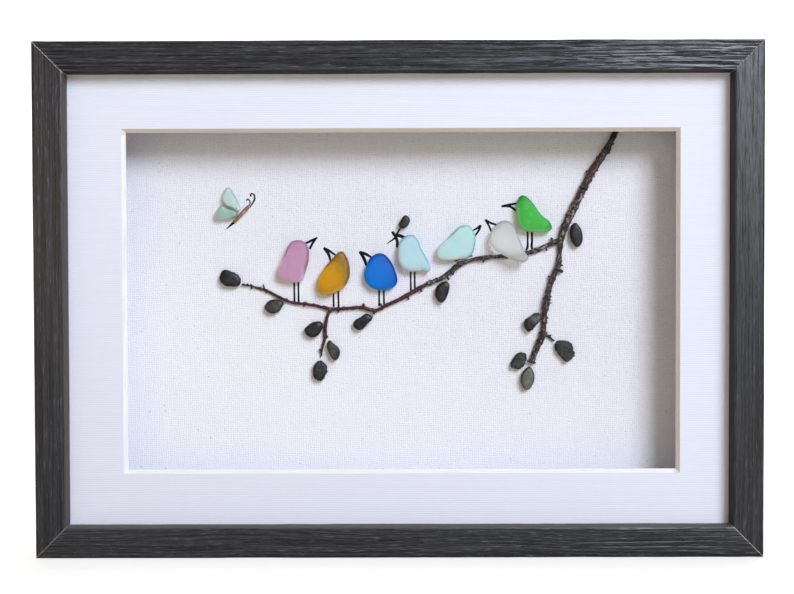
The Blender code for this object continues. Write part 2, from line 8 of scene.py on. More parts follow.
import logging
from collections.abc import Callable, Iterable, Sequence
from dataclasses import dataclass
from enum import Enum
from math import cos, exp, pi, radians, tan
from typing import Union

import bmesh
import bpy
from mathutils import Matrix, Vector, noise
from mathutils.kdtree import KDTree

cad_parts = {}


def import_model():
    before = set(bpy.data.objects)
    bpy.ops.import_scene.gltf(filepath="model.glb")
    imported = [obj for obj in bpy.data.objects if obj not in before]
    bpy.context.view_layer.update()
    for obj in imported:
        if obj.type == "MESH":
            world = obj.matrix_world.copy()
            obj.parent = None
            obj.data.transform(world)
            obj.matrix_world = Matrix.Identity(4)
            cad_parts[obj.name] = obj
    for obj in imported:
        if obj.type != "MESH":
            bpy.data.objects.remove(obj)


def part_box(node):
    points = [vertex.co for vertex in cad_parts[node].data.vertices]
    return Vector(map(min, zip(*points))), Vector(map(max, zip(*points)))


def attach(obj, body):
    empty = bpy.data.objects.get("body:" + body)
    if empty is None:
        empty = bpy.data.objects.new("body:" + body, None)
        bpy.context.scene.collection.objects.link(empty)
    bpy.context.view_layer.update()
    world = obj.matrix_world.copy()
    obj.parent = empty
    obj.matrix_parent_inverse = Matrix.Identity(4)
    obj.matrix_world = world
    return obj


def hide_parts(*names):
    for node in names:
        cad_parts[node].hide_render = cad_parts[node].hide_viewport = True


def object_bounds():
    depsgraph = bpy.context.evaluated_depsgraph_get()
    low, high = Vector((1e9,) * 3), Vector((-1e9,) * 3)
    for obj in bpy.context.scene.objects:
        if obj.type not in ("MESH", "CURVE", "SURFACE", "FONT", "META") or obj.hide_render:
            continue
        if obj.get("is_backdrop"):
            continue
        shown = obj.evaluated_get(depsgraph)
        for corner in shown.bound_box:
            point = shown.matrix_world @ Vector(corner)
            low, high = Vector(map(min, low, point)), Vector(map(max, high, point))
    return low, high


MM = 0.001
BODY = "root"
Colour = tuple[float, float, float]
log = logging.getLogger("framed_glass_art")


# Shader graphs

class Socket:
    """An output of a shader node. Arithmetic on it adds Math nodes."""

    def __init__(self, graph: Graph, link: bpy.types.NodeSocket | None) -> None:
        """Keep the graph and the output socket; a closing node has none."""
        self.graph = graph
        self.link = link

    def math(self, operation: str, first: Value, second: Value = 0.0) -> Socket:
        """Return the result of one Math node."""
        return self.graph.node("ShaderNodeMath", {"operation": operation}, {0: first, 1: second})

    def __add__(self, other: Value) -> Socket:
        """Return self + other."""
        return self.math("ADD", self, other)

    __radd__ = __add__

    def __sub__(self, other: Value) -> Socket:
        """Return self - other."""
        return self.math("SUBTRACT", self, other)

    def __rsub__(self, other: Value) -> Socket:
        """Return other - self."""
        return self.math("SUBTRACT", other, self)

    def __mul__(self, other: Value) -> Socket:
        """Return self * other."""
        return self.math("MULTIPLY", self, other)

    __rmul__ = __mul__

    def __truediv__(self, other: Value) -> Socket:
        """Return self / other."""
        return self.math("DIVIDE", self, other)

    def __rtruediv__(self, other: Value) -> Socket:
        """Return other / self."""
        return self.math("DIVIDE", other, self)

    def __pow__(self, other: Value) -> Socket:
        """Return self to the power of other."""
        return self.math("POWER", self, other)

    def __abs__(self) -> Socket:
        """Return the size of self without its sign."""
        return self.math("ABSOLUTE", self)

    def sine(self) -> Socket:
        """Return the sine of self, in radians."""
        return self.math("SINE", self)

    def most(self, other: Value) -> Socket:
        """Return the larger of self and other."""
        return self.math("MAXIMUM", self, other)

    def least(self, other: Value) -> Socket:
        """Return the smaller of self and other."""
        return self.math("MINIMUM", self, other)

    def rise(self, low: float, high: float) -> Socket:
        """Return a soft step from 0 at low to 1 at high; low may be the larger one."""
        return self.graph.node(
            "ShaderNodeMapRange",
            {"interpolation_type": "SMOOTHSTEP"},
            {"Value": self, "From Min": low, "From Max": high},
        )


Value = Union[Socket, float, Sequence[float]]


class Graph:
    """The node tree of one material or of the room."""

    def __init__(self, name: str, holder: bpy.types.ID | None = None) -> None:
        """Start an empty tree in the holder, or in a new material of that name."""
        self.material = holder or bpy.data.materials.new(name)
        self.material.use_nodes = True
        self.tree = self.material.node_tree
        self.tree.nodes.clear()

    def node(self, kind: str, settings: dict | None = None, feeds: dict | None = None,
             output: int | str = 0) -> Socket:
        """Add one node.

        Args:
            kind: the node's type.
            settings: its properties.
            feeds: values or sockets for its inputs, by name or number.
            output: the output to return, by name or number.

        Returns:
            The chosen output.
        """
        made = self.tree.nodes.new(kind)
        for name, value in (settings or {}).items():
            setattr(made, name, value)
        for name, value in (feeds or {}).items():
            self.feed(made.inputs[name], value)
        return Socket(self, made.outputs[output] if made.outputs else None)

    def feed(self, entry: bpy.types.NodeSocket, value: Value) -> None:
        """Link a socket to the input, or set the input's plain value."""
        if isinstance(value, Socket):
            self.tree.links.new(value.link, entry)
        elif entry.type == "RGBA":
            entry.default_value = (*value, 1.0)
        else:
            entry.default_value = value

    def vector(self, operation: str, first: Value, second: Value) -> Socket:
        """Return the result of one Vector Math node."""
        return self.node("ShaderNodeVectorMath", {"operation": operation}, {0: first, 1: second})

    def place(self) -> Socket:
        """Return the Object coordinates in millimetres."""
        raw = self.node("ShaderNodeTexCoord", output="Object")
        return self.vector("MULTIPLY", raw, (1 / MM,) * 3)

    def attribute(self, name: str, output: str = "Vector") -> Socket:
        """Return one of the mesh's own attributes."""
        return self.node("ShaderNodeAttribute", {"attribute_name": name}, output=output)

    def parts(self, vector: Socket) -> tuple[Socket, Socket, Socket]:
        """Return the vector's x, y and z."""
        split = [self.node("ShaderNodeSeparateXYZ", feeds={0: vector}, output=axis) for axis in range(3)]
        return split[0], split[1], split[2]

    def noise(self, where: Socket, size: float, stretch: Sequence[float] = (1, 1, 1),
              detail: float = 2.0, rough: float = 0.5, bend: float = 0.0) -> Socket:
        """Return a noise from 0 to 1.

        Args:
            where: coordinates in millimetres.
            size: the size of its lumps in millimetres.
            stretch: how much longer the lumps are along x, y and z.
            detail: how many finer layers it has.
            rough: how strong the finer layers are.
            bend: how much it is distorted.

        Returns:
            The noise.
        """
        scaled = self.vector("DIVIDE", where, tuple(size * share for share in stretch))
        feeds = {"Vector": scaled, "Scale": 1.0, "Detail": detail, "Roughness": rough, "Distortion": bend}
        return self.node("ShaderNodeTexNoise", feeds=feeds)

    def cells(self, where: Socket, size: float) -> Socket:
        """Return the distance to the nearest of scattered points."""
        scaled = self.vector("DIVIDE", where, (size,) * 3)
        return self.node("ShaderNodeTexVoronoi", feeds={"Vector": scaled, "Scale": 1.0}, output="Distance")

    def mix(self, share: Value, first: Value, second: Value) -> Socket:
        """Return a colour that goes from the first to the second with the share."""
        feeds = {0: share, 6: first, 7: second}
        return self.node("ShaderNodeMix", {"data_type": "RGBA"}, feeds, output=2)

    def bump(self, height: Socket, depth: float) -> Socket:
        """Return a normal that stands for a height from 0 to 1 over a depth in metres."""
        feeds = {"Height": height, "Distance": depth, "Strength": 1.0}
        return self.node("ShaderNodeBump", feeds=feeds, output="Normal")

    def surface(self, feeds: dict) -> bpy.types.Material:
        """Close the tree with a Principled shader that has these inputs."""
        shader = self.node("ShaderNodeBsdfPrincipled", feeds=feeds)
        self.node("ShaderNodeOutputMaterial", feeds={"Surface": shader})
        return self.material


# Finishes

@dataclass(frozen=True)
class CharcoalWood:
    """Open-grained wood under a charcoal stain. Reads the rails' own grain attribute."""

    stain: Colour = (0.005, 0.006, 0.009)
    worn: Colour = (0.033, 0.037, 0.046)
    dash: Colour = (0.12, 0.13, 0.15)
    bare: Colour = (0.72, 0.69, 0.65)
    # rubbed: lighter brown of the bottom and left lips, which face the lamp: partly rubbed wood, partly
    # painted light
    rubbed: Colour = (0.11, 0.092, 0.085)
    ochre: Colour = (0.16, 0.12, 0.07)
    pore_depth: float = 0.16 * MM
    mitre_width: float = 0.32
    rail: float = 15.0

    def material(self, half_width: float, height: float) -> bpy.types.Material:
        """Build the finish.

        Args:
            half_width: half the frame's width in millimetres.
            height: the frame's height in millimetres.

        Returns:
            The material.
        """
        graph = Graph("charcoal_wood")
        grain = graph.attribute("grain")
        streaks = graph.noise(grain, 0.8, (34, 1, 1), detail=3, rough=0.6)
        pores = graph.noise(grain, 0.40, (24, 1, 1), detail=1)
        patches = graph.noise(grain, 9, (6, 1, 1))
        scuffs = graph.noise(grain, 0.35, (60, 1, 1), detail=1).rise(0.74, 0.84)
        scuffs = scuffs * patches.rise(0.56, 0.66)
        ridge = graph.attribute("ridge", "Fac")
        wear = graph.attribute("wear", "Fac")
        lip = graph.attribute("lip", "Fac")
        tone = streaks.rise(0.35, 0.70) * 0.35 + ridge.rise(0.3, 0.9) * 0.5
        tone = tone + patches.rise(0.35, 0.7) * 0.15
        colour = graph.mix(tone, self.stain, self.worn)
        dashes = graph.noise(grain, 0.34, (22, 1, 1), detail=1).rise(0.58, 0.70)
        colour = graph.mix(dashes * ridge.rise(0.35, 0.7) * 0.7, colour, self.dash)
        colour = graph.mix(scuffs * 0.5, colour, self.ochre)
        colour = graph.mix(lip * 0.9, colour, self.stain)
        # Lighter brown on the lips by their wear attribute: partly rubbed wood, partly painted light on
        # the lips that face the lamp.
        colour = graph.mix(wear * (0.45 + pores * 0.7), colour, self.rubbed)
        colour = graph.mix(self.mitre_wear(graph, half_width, height), colour, self.bare)
        rough = 0.19 + pores * 0.17 + lip * 0.4
        normal = graph.bump(streaks * 0.4 + pores * 0.4 + dashes * 0.4, self.pore_depth)
        return graph.surface({"Base Color": colour, "Roughness": rough, "Normal": normal,
                              "Specular IOR Level": 0.5})

    def mitre_wear(self, graph: Graph, half_width: float, height: float) -> Socket:
        """Return how bare the wood is along the four mitres, from 0 to 1."""
        where = graph.place()
        across, _, up = graph.parts(where)
        lines = (
            (across + up - (height - half_width), 1.0),
            (across + up - half_width, 0.9),
            (across - up + (height - half_width), 0.45),
            (across - up + half_width, 0.5),
        )
        corner = (abs(across) - half_width + self.rail).rise(-0.6, 0.0)
        chips = graph.noise(where, 1.6, detail=2).rise(0.18, 0.45) * corner
        wear = None
        for distance, strength in lines:
            line = abs(distance).rise(self.mitre_width, self.mitre_width * 0.4) * strength
            wear = line if wear is None else wear.most(line)
        return wear * chips


@dataclass(frozen=True)
class RibbedBoard:
    """White ribbed mat board with a cream core that shows on the bevel; the top and right bevels are
    painted darker as shade.
    """

    paper: Colour = (0.805, 0.832, 0.92)
    dim_paper: Colour = (0.78, 0.795, 0.865)
    core: Colour = (0.95, 0.945, 0.92)
    # Warm grey of the core's layers, also painted on the top and right bevels as shade
    core_layer_and_shade: Colour = (0.62, 0.56, 0.45)
    fibre_depth: float = 0.02 * MM
    # How far in from the window's top and right edges the painted bevel shade reaches, and how soft its
    # start is
    bevel_shade_reach: float = 3.0
    bevel_shade_soft: float = 0.4

    def material(self, middle: tuple[float, float], half: tuple[float, float]) -> bpy.types.Material:
        """Build the finish.

        Args:
            middle: the window's middle in millimetres, across and up.
            half: half the window's width and height in millimetres.

        Returns:
            The material.
        """
        graph = Graph("mat_board")
        where = graph.place()
        across, _, up = graph.parts(where)
        beside = (abs(across - middle[0]) - half[0]).most(abs(up - middle[1]) - half[1])
        core = beside.rise(-0.02, -0.06)
        fibres = graph.noise(where, 0.5, (5, 1, 1), detail=3, rough=0.6)
        clouds = graph.noise(where, 30)
        paper = graph.mix(fibres.rise(0.35, 0.75) * 0.5 + clouds * 0.2, self.paper, self.dim_paper)
        layers = graph.noise(where, 0.22, (90, 1, 90), detail=1)
        cut = graph.mix(layers.rise(0.4, 0.7) * 0.4, self.core, self.core_layer_and_shade)
        # Painted shade: the top and right bevels, which face away from the lamp, are darkened towards the
        # layer colour.
        top_bevel_shade = (up - middle[1] - half[1] + self.bevel_shade_reach).rise(0, self.bevel_shade_soft)
        right_bevel_shade = (across - middle[0] - half[0] + self.bevel_shade_reach).rise(0, self.bevel_shade_soft)
        cut = graph.mix(top_bevel_shade.most(right_bevel_shade) * 0.6, cut, self.core_layer_and_shade)
        colour = graph.mix(core, paper, cut)
        normal = graph.bump(fibres, self.fibre_depth)
        return graph.surface({"Base Color": colour, "Roughness": 0.9 - fibres * 0.1, "Normal": normal,
                              "Specular IOR Level": 0.3})


@dataclass(frozen=True)
class PlainBoard:
    """White card of the spacers, with a cut edge's faint layers."""

    card: Colour = (0.78, 0.77, 0.74)
    layer: Colour = (0.70, 0.67, 0.61)
    layer_depth: float = 0.03 * MM

    def material(self) -> bpy.types.Material:
        """Build the finish."""
        graph = Graph("spacer_board")
        where = graph.place()
        layers = graph.noise(where, 0.5, (40, 1, 40), detail=2)
        mottle = graph.noise(where, 4)
        colour = graph.mix(layers * 0.4 + mottle * 0.3, self.card, self.layer)
        return graph.surface({"Base Color": colour, "Roughness": 0.85 + mottle * 0.1,
                              "Normal": graph.bump(layers, self.layer_depth)})


@dataclass(frozen=True)
class CanvasCloth:
    """Primed canvas in plain weave: threads that go over and under, slubs and specks, with painted shade
    in the weave's hollows and painted light towards the lower left.
    """

    ground: Colour = (0.86, 0.87, 0.92)
    # Darker colour painted into the weave's hollows as shade
    hollow_shade: Colour = (0.64, 0.65, 0.71)
    # Lighter ground, painted towards the lower left as light
    lit_ground: Colour = (0.96, 0.965, 1.0)
    speck: Colour = (0.36, 0.36, 0.42)
    thread: float = 1.08
    weave_depth: float = 0.30 * MM

    def material(self) -> bpy.types.Material:
        """Build the finish."""
        graph = Graph("canvas_cloth")
        where = graph.place()
        across, _, up = graph.parts(where)
        drift = graph.noise(where, 6, detail=3, rough=0.6) - 0.5
        slub_up = graph.noise(where, 1.7, (1, 1, 14), detail=1) - 0.5
        slub_across = graph.noise(where, 1.7, (14, 1, 1), detail=1) - 0.5
        warp_turn = ((across + drift * 2.4 + slub_up * 0.7) * (pi / self.thread)).sine()
        weft_turn = ((up + drift * 2.4 + slub_across * 0.7) * (pi / self.thread)).sine()
        crossing = warp_turn * weft_turn * 0.4
        warp = abs(warp_turn) * 0.6 + crossing
        weft = abs(weft_turn) * 0.6 - crossing
        weave = warp.most(weft)
        primer = graph.noise(where, 0.8, detail=3, rough=0.65)
        knots = graph.noise(where, 1.0, (1.3, 1, 1), detail=1)
        relief = weave * (0.25 + knots * 0.9) + primer * 0.8 + (slub_up + slub_across) * 0.15
        specks = graph.cells(where, 4.6).rise(0.10, 0.05) * graph.noise(where, 7).rise(0.50, 0.56)
        # Painted shade: darker where the weave's relief is low, in its hollows.
        colour = graph.mix(relief.rise(0.30, 0.85), self.hollow_shade, self.ground)
        # Painted light: the canvas is lighter towards the lower left, away from the recess's top and right
        # edges.
        colour = graph.mix((across * -0.45 - up).rise(-170, -30) * 0.85, colour, self.lit_ground)
        colour = graph.mix(specks * 0.6, colour, self.speck)
        normal = graph.bump(relief, self.weave_depth)
        return graph.surface({"Base Color": colour, "Roughness": 0.94 - primer * 0.1, "Normal": normal,
                              "Specular IOR Level": 0.2})


@dataclass(frozen=True)
class Hardboard:
    """Brown pressed-fibre board with the mesh print of its press on the back."""

    brown: Colour = (0.20, 0.115, 0.065)
    light: Colour = (0.33, 0.21, 0.125)
    pressed: Colour = (0.10, 0.055, 0.03)
    print_pitch: float = 1.6
    print_depth: float = 0.15 * MM

    def material(self) -> bpy.types.Material:
        """Build the finish."""
        graph = Graph("back_board")
        where = graph.place()
        across, _, up = graph.parts(where)
        turn = pi / self.print_pitch
        mesh = abs(((across + up) * turn).sine()).least(abs(((across - up) * turn).sine()))
        fibres = graph.noise(where, 0.7, (3, 1, 1), detail=4, rough=0.7, bend=0.6)
        clouds = graph.noise(where, 22)
        colour = graph.mix(fibres.rise(0.3, 0.75), self.brown, self.light)
        colour = graph.mix(clouds * 0.35, colour, self.brown)
        colour = graph.mix(mesh.rise(0.25, 0.0) * 0.45, colour, self.pressed)
        height = mesh * 0.7 + fibres * 0.3
        return graph.surface({"Base Color": colour, "Roughness": 0.75 + fibres * 0.15,
                              "Normal": graph.bump(height, self.print_depth)})


@dataclass(frozen=True)
class ZincSteel:
    """Rolled steel with a zinc coat, rubbed along its length."""

    zinc: Colour = (0.56, 0.57, 0.58)
    dull: Colour = (0.48, 0.49, 0.51)
    rub_depth: float = 0.008 * MM

    def material(self) -> bpy.types.Material:
        """Build the finish."""
        graph = Graph("steel")
        where = graph.place()
        rub = graph.noise(where, 0.12, (40, 1, 1), detail=2)
        bloom = graph.noise(where, 2.4, detail=3)
        colour = graph.mix(bloom.rise(0.35, 0.7), self.zinc, self.dull)
        return graph.surface({"Base Color": colour, "Metallic": 1.0,
                              "Roughness": 0.26 + bloom * 0.2 + rub * 0.1,
                              "Normal": graph.bump(rub, self.rub_depth)})


@dataclass(frozen=True)
class Bark:
    """Thin bark. Reads the twig's grain and tone attributes: red, pale and black shares."""

    name: str = "bark"
    brown: Colour = (0.040, 0.029, 0.026)
    dusk: Colour = (0.008, 0.006, 0.007)
    red: Colour = (0.064, 0.005, 0.007)
    pale: Colour = (0.38, 0.32, 0.29)
    black: Colour = (0.006, 0.005, 0.006)
    furrow_depth: float = 0.32 * MM

    def material(self) -> bpy.types.Material:
        """Build the finish."""
        graph = Graph(self.name)
        grain = graph.attribute("grain")
        red, pale, black = graph.parts(graph.attribute("tone"))
        streaks = graph.noise(grain, 0.45, (5, 1, 1), detail=3, rough=0.65)
        flakes = graph.noise(grain, 1.1, (2, 1, 1), detail=3, rough=0.6, bend=0.8)
        dots = graph.cells(grain, 0.9).rise(0.30, 0.16)
        colour = graph.mix(streaks.rise(0.35, 0.68), self.dusk, self.brown)
        colour = graph.mix(red * (0.6 + flakes.rise(0.3, 0.6) * 0.4), colour, self.red)
        lichen = (flakes.rise(0.53, 0.61) + dots * 0.8) * (pale + 0.42 - red * 0.32)
        colour = graph.mix(lichen.least(1.0), colour, self.pale)
        colour = graph.mix(black, colour, self.black)
        height = streaks * 0.55 + flakes * 0.6 + dots * 0.15
        return graph.surface({"Base Color": colour, "Roughness": 0.48 + flakes * 0.3,
                              "Normal": graph.bump(height, self.furrow_depth),
                              "Specular IOR Level": 0.35})


@dataclass(frozen=True)
class SeaGlass:
    """Glass frosted by the sea: see-through by plain values, with a painted glow, painted shade on its
    upper-right rims and painted light on its lower-left rims.
    """

    name: str
    tint: Colour
    # deep: the darker tint painted away from the glow as shade; edge: the dark colour painted on the
    # upper-right rims as shade; pale: frost and haze, and the bright colour painted on the lower-left rims
    # as light
    deep: Colour
    edge: Colour
    pale: Colour
    # glow: across, up and radius in millimetres of the painted glow, from the piece's middle
    glow: tuple[float, float, float] = (0.0, 0.0, 9.0)
    # reach: how fast the painted rim shade and light change across the piece, in millimetres
    reach: float = 9.0
    clear: float = 0.30
    haze: float = 0.22
    frost_depth: float = 0.03 * MM
    scatter: float = 1.6 * MM

    def material(self, middle: Vector) -> bpy.types.Material:
        """Build the finish of one piece.

        Args:
            middle: the piece's middle in metres; the painted glow is given from it, in millimetres.

        Returns:
            The material.
        """
        graph = Graph(self.name)
        where = graph.place()
        across, _, up = graph.parts(where)
        rim = graph.attribute("rim", "Fac")
        from_x = across - middle.x / MM
        from_z = up - middle.z / MM
        # Painted glow: the tint is brightest around the glow's point and turns to the deep tint away from
        # it as painted shade.
        glow_x = (from_x - self.glow[0]) / self.glow[2]
        glow_z = (from_z - self.glow[1]) / self.glow[2]
        away = (glow_x * glow_x + glow_z * glow_z) ** 0.5
        # Positive towards the upper right, where the lamp is, and negative towards the lower left.
        lamp_side = (from_x * 0.64 + from_z * 0.77) / self.reach
        clouds = graph.noise(where, 5, detail=2)
        frost = graph.noise(where, 0.32, detail=3, rough=0.6)
        pits = graph.cells(where, 1.5).rise(0.16, 0.04)
        shade = (away + clouds * 0.5 - 0.25).rise(0.35, 1.25)
        colour = graph.mix(shade, self.tint, self.deep)
        haze = graph.noise(where, 3.2, detail=3).rise(0.48, 0.72) * self.haze
        colour = graph.mix(haze, colour, self.pale)
        # Painted shade on the rims towards the upper right, and painted light on the rims towards the
        # lower left.
        colour = graph.mix(rim.rise(0.012, 0.30) * lamp_side.rise(-0.3, 0.3) * 0.8, colour, self.edge)
        colour = graph.mix(rim.rise(0.010, 0.20) * lamp_side.rise(0.1, -0.45) * 0.85, colour, self.pale)
        colour = graph.mix(frost.rise(0.55, 0.8) * 0.12 + pits * 0.2, colour, self.pale)
        height = frost * 0.5 + (1 - pits) * 0.5
        return graph.surface({
            "Base Color": colour,
            "Roughness": 0.42 + frost * 0.16,
            "Normal": graph.bump(height, self.frost_depth),
            "Transmission Weight": self.clear,
            "IOR": 1.45,
            "Specular IOR Level": 0.16,
            "Subsurface Weight": 0.5,
            "Subsurface Radius": (1.0, 1.0, 1.0),
            "Subsurface Scale": self.scatter,
        })


@dataclass(frozen=True)
class Stone:
    """A worn stone: fine grain, specks and small pits, painted shade on its rim and, where a bloom is
    given, painted light around that point.
    """

    name: str
    dark: Colour = (0.006, 0.0065, 0.007)
    light: Colour = (0.024, 0.025, 0.027)
    speck: Colour = (0.20, 0.20, 0.19)
    specks: float = 0.25
    roughness: float = 0.28
    pit_depth: float = 0.035 * MM
    layers: float = 0.0
    # rim_shade: how strongly the rim is darkened as painted shade; rim: the colour of that painted shade
    rim_shade: float = 0.5
    rim: Colour = (0.006, 0.006, 0.006)
    # bloom: across, up and radius in millimetres of painted light; away from it the stone is darker
    bloom: tuple[float, float, float] | None = None

    def material(self) -> bpy.types.Material:
        """Build the finish."""
        graph = Graph(self.name)
        where = graph.place()
        across, _, up = graph.parts(where)
        rim = graph.attribute("rim", "Fac")
        clouds = graph.noise(where, 3.2, detail=3, rough=0.55)
        grit = graph.noise(where, 0.28, detail=3, rough=0.7)
        beds = graph.noise(where, 0.8, (5, 1, 2), detail=3, bend=0.5)
        dots = graph.cells(where, 0.8).rise(0.26, 0.12) * grit.rise(0.45, 0.6)
        tone = clouds.rise(0.3, 0.7) * (1 - self.layers) + beds.rise(0.35, 0.65) * self.layers
        colour = graph.mix(tone, self.dark, self.light)
        colour = graph.mix(dots * self.specks, colour, self.speck)
        # Painted light: the stone stays light around the bloom's point and darkens away from it.
        if self.bloom:
            from_x = (across - self.bloom[0]) / self.bloom[2]
            from_z = (up - self.bloom[1]) / self.bloom[2]
            away = (from_x * from_x + from_z * from_z) ** 0.5 + clouds * 0.5
            colour = graph.mix(away.rise(0.7, 1.5) * 0.9, colour, self.dark)
        # Painted shade: darker where the stone faces sideways.
        colour = graph.mix(rim.rise(0.03, 0.45) * self.rim_shade, colour, self.rim)
        height = grit * 0.7 + beds * (0.2 + self.layers) + (1 - dots) * 0.2
        return graph.surface({"Base Color": colour, "Roughness": self.roughness + grit * 0.2,
                              "Normal": graph.bump(height, self.pit_depth),
                              "Specular IOR Level": 0.3})


@dataclass(frozen=True)
class Ink:
    """Black paint laid on with a fine brush."""

    black: Colour = (0.004, 0.004, 0.005)
    thin: Colour = (0.015, 0.0145, 0.016)
    brush_depth: float = 0.02 * MM

    def material(self) -> bpy.types.Material:
        """Build the finish."""
        graph = Graph("ink")
        where = graph.place()
        drag = graph.noise(where, 0.5, detail=3)
        colour = graph.mix(drag.rise(0.5, 0.8) * 0.5, self.black, self.thin)
        return graph.surface({"Base Color": colour, "Roughness": 0.62 + drag * 0.2,
                              "Normal": graph.bump(drag, self.brush_depth),
                              "Specular IOR Level": 0.15})


# Shared modelling

def copy_of(node: str) -> bmesh.types.BMesh:
    """Return a merged copy of a CAD node's mesh."""
    bm = bmesh.new()
    bm.from_mesh(bpy.data.objects[node].data)
    bmesh.ops.remove_doubles(bm, verts=bm.verts[:], dist=0.005 * MM)
    return bm


def settled(bm: bmesh.types.BMesh, dress: Callable[[bpy.types.Object], None]) -> bmesh.types.BMesh:
    """Run modifiers on a bmesh.

    Args:
        bm: the mesh to change; it is freed.
        dress: adds the modifiers to the object that it is given.

    Returns:
        The changed mesh.
    """
    mesh = bpy.data.meshes.new("work")
    bm.to_mesh(mesh)
    bm.free()
    obj = bpy.data.objects.new("work", mesh)
    bpy.context.scene.collection.objects.link(obj)
    dress(obj)
    evaluated = obj.evaluated_get(bpy.context.evaluated_depsgraph_get())
    made = bmesh.new()
    made.from_mesh(evaluated.to_mesh())
    evaluated.to_mesh_clear()
    bpy.data.objects.remove(obj, do_unlink=True)
    bpy.data.meshes.remove(mesh)
    return made


def skinned(bm: bmesh.types.BMesh, cell: float, smoothing: int) -> bmesh.types.BMesh:
    """Return one even skin over all the closed shells of a bmesh.

    Args:
        bm: the shells; it is freed.
        cell: the size of the skin's faces.
        smoothing: how many times the skin is smoothed.

    Returns:
        The skin.
    """
    def add_remesh(obj: bpy.types.Object) -> None:
        """Add the voxel remesh."""
        remesh = obj.modifiers.new("skin", "REMESH")
        remesh.mode = "VOXEL"
        remesh.voxel_size = cell

    skin = settled(bm, add_remesh)
    for _ in range(smoothing):
        bmesh.ops.smooth_vert(skin, verts=skin.verts[:], factor=0.5,
                              use_axis_x=True, use_axis_y=True, use_axis_z=True)
    return skin


def raise_by(bm: bmesh.types.BMesh, height: Callable[[Vector, Vector], float], back: float) -> None:
    """Move each vertex along its normal and keep it off the canvas.

    Args:
        bm: the mesh to change.
        height: gives how far a vertex moves, from its place and normal.
        back: the furthest y that a vertex may have.
    """
    bm.normal_update()
    moves = [(vert, vert.normal * height(vert.co, vert.normal)) for vert in bm.verts]
    for vert, move in moves:
        vert.co += move
        vert.co.y = min(vert.co.y, back)


def rough_noise(place: Vector, size: float, seed: float = 0.0) -> float:
    """Return a smooth noise from -1 to 1 with lumps of the size."""
    return noise.noise(place / size + Vector((seed, seed * 0.37, -seed)))


def finished(name: str, bm: bmesh.types.BMesh, finish: bpy.types.Material,
             nodes: Iterable[str] = (), sharp: float = 35.0) -> bpy.types.Object:
    """Turn a bmesh into a finished piece.

    Args:
        name: the piece's name.
        bm: its mesh in place; it is freed.
        finish: its material.
        nodes: the CAD nodes that it replaces.
        sharp: the angle in degrees above which an edge stays sharp.

    Returns:
        The piece.
    """
    mesh = bpy.data.meshes.new(name)
    bm.to_mesh(mesh)
    bm.free()
    mesh.shade_smooth()
    mesh.set_sharp_from_angle(angle=radians(sharp))
    mesh.materials.append(finish)
    obj = bpy.data.objects.new(name, mesh)
    bpy.context.scene.collection.objects.link(obj)
    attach(obj, BODY)
    if nodes:
        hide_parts(*nodes)
    log.info("%s: %d faces", name, len(mesh.polygons))
    return obj


def dress_node(node: str, finish: bpy.types.Material) -> None:
    """Give a CAD node its material."""
    obj = bpy.data.objects[node]
    obj.data.materials.clear()
    obj.data.materials.append(finish)
    log.info("%s: dressed in %s", node, finish.name)


def write_values(obj: bpy.types.Object, name: str, values: Sequence[float]) -> None:
    """Store a number for each vertex."""
    obj.data.attributes.new(name, "FLOAT", "POINT").data.foreach_set("value", values)


def write_vectors(obj: bpy.types.Object, name: str, values: Iterable[Sequence[float]]) -> None:
    """Store a vector for each vertex."""
    flat = [part for value in values for part in value]
    obj.data.attributes.new(name, "FLOAT_VECTOR", "POINT").data.foreach_set("vector", flat)


# The frame and what it holds

class Side(Enum):
    """A side of the frame: its word, its turn about the depth axis and the look of its wood."""

    TOP = ("top", 0.0, 1.2, 1.25, 0.0)
    RIGHT = ("right", pi / 2, 0.4, 0.40, 0.0)
    BOTTOM = ("bottom", pi, 5.0, 0.5, 1.0)
    LEFT = ("left", -pi / 2, 0.4, 0.45, 0.8)

    def __init__(self, word: str, turn: float, wander: float, relief: float, rub: float) -> None:
        """Keep the side's values: relief scales its grooves, rub how much lighter brown its inner lip is
        painted; the bottom and left lips, which face the lamp, have it, partly as rubbed wood and partly
        as painted light.
        """
        self.word = word
        self.turn = turn
        self.wander = wander
        self.relief = relief
        self.rub = rub


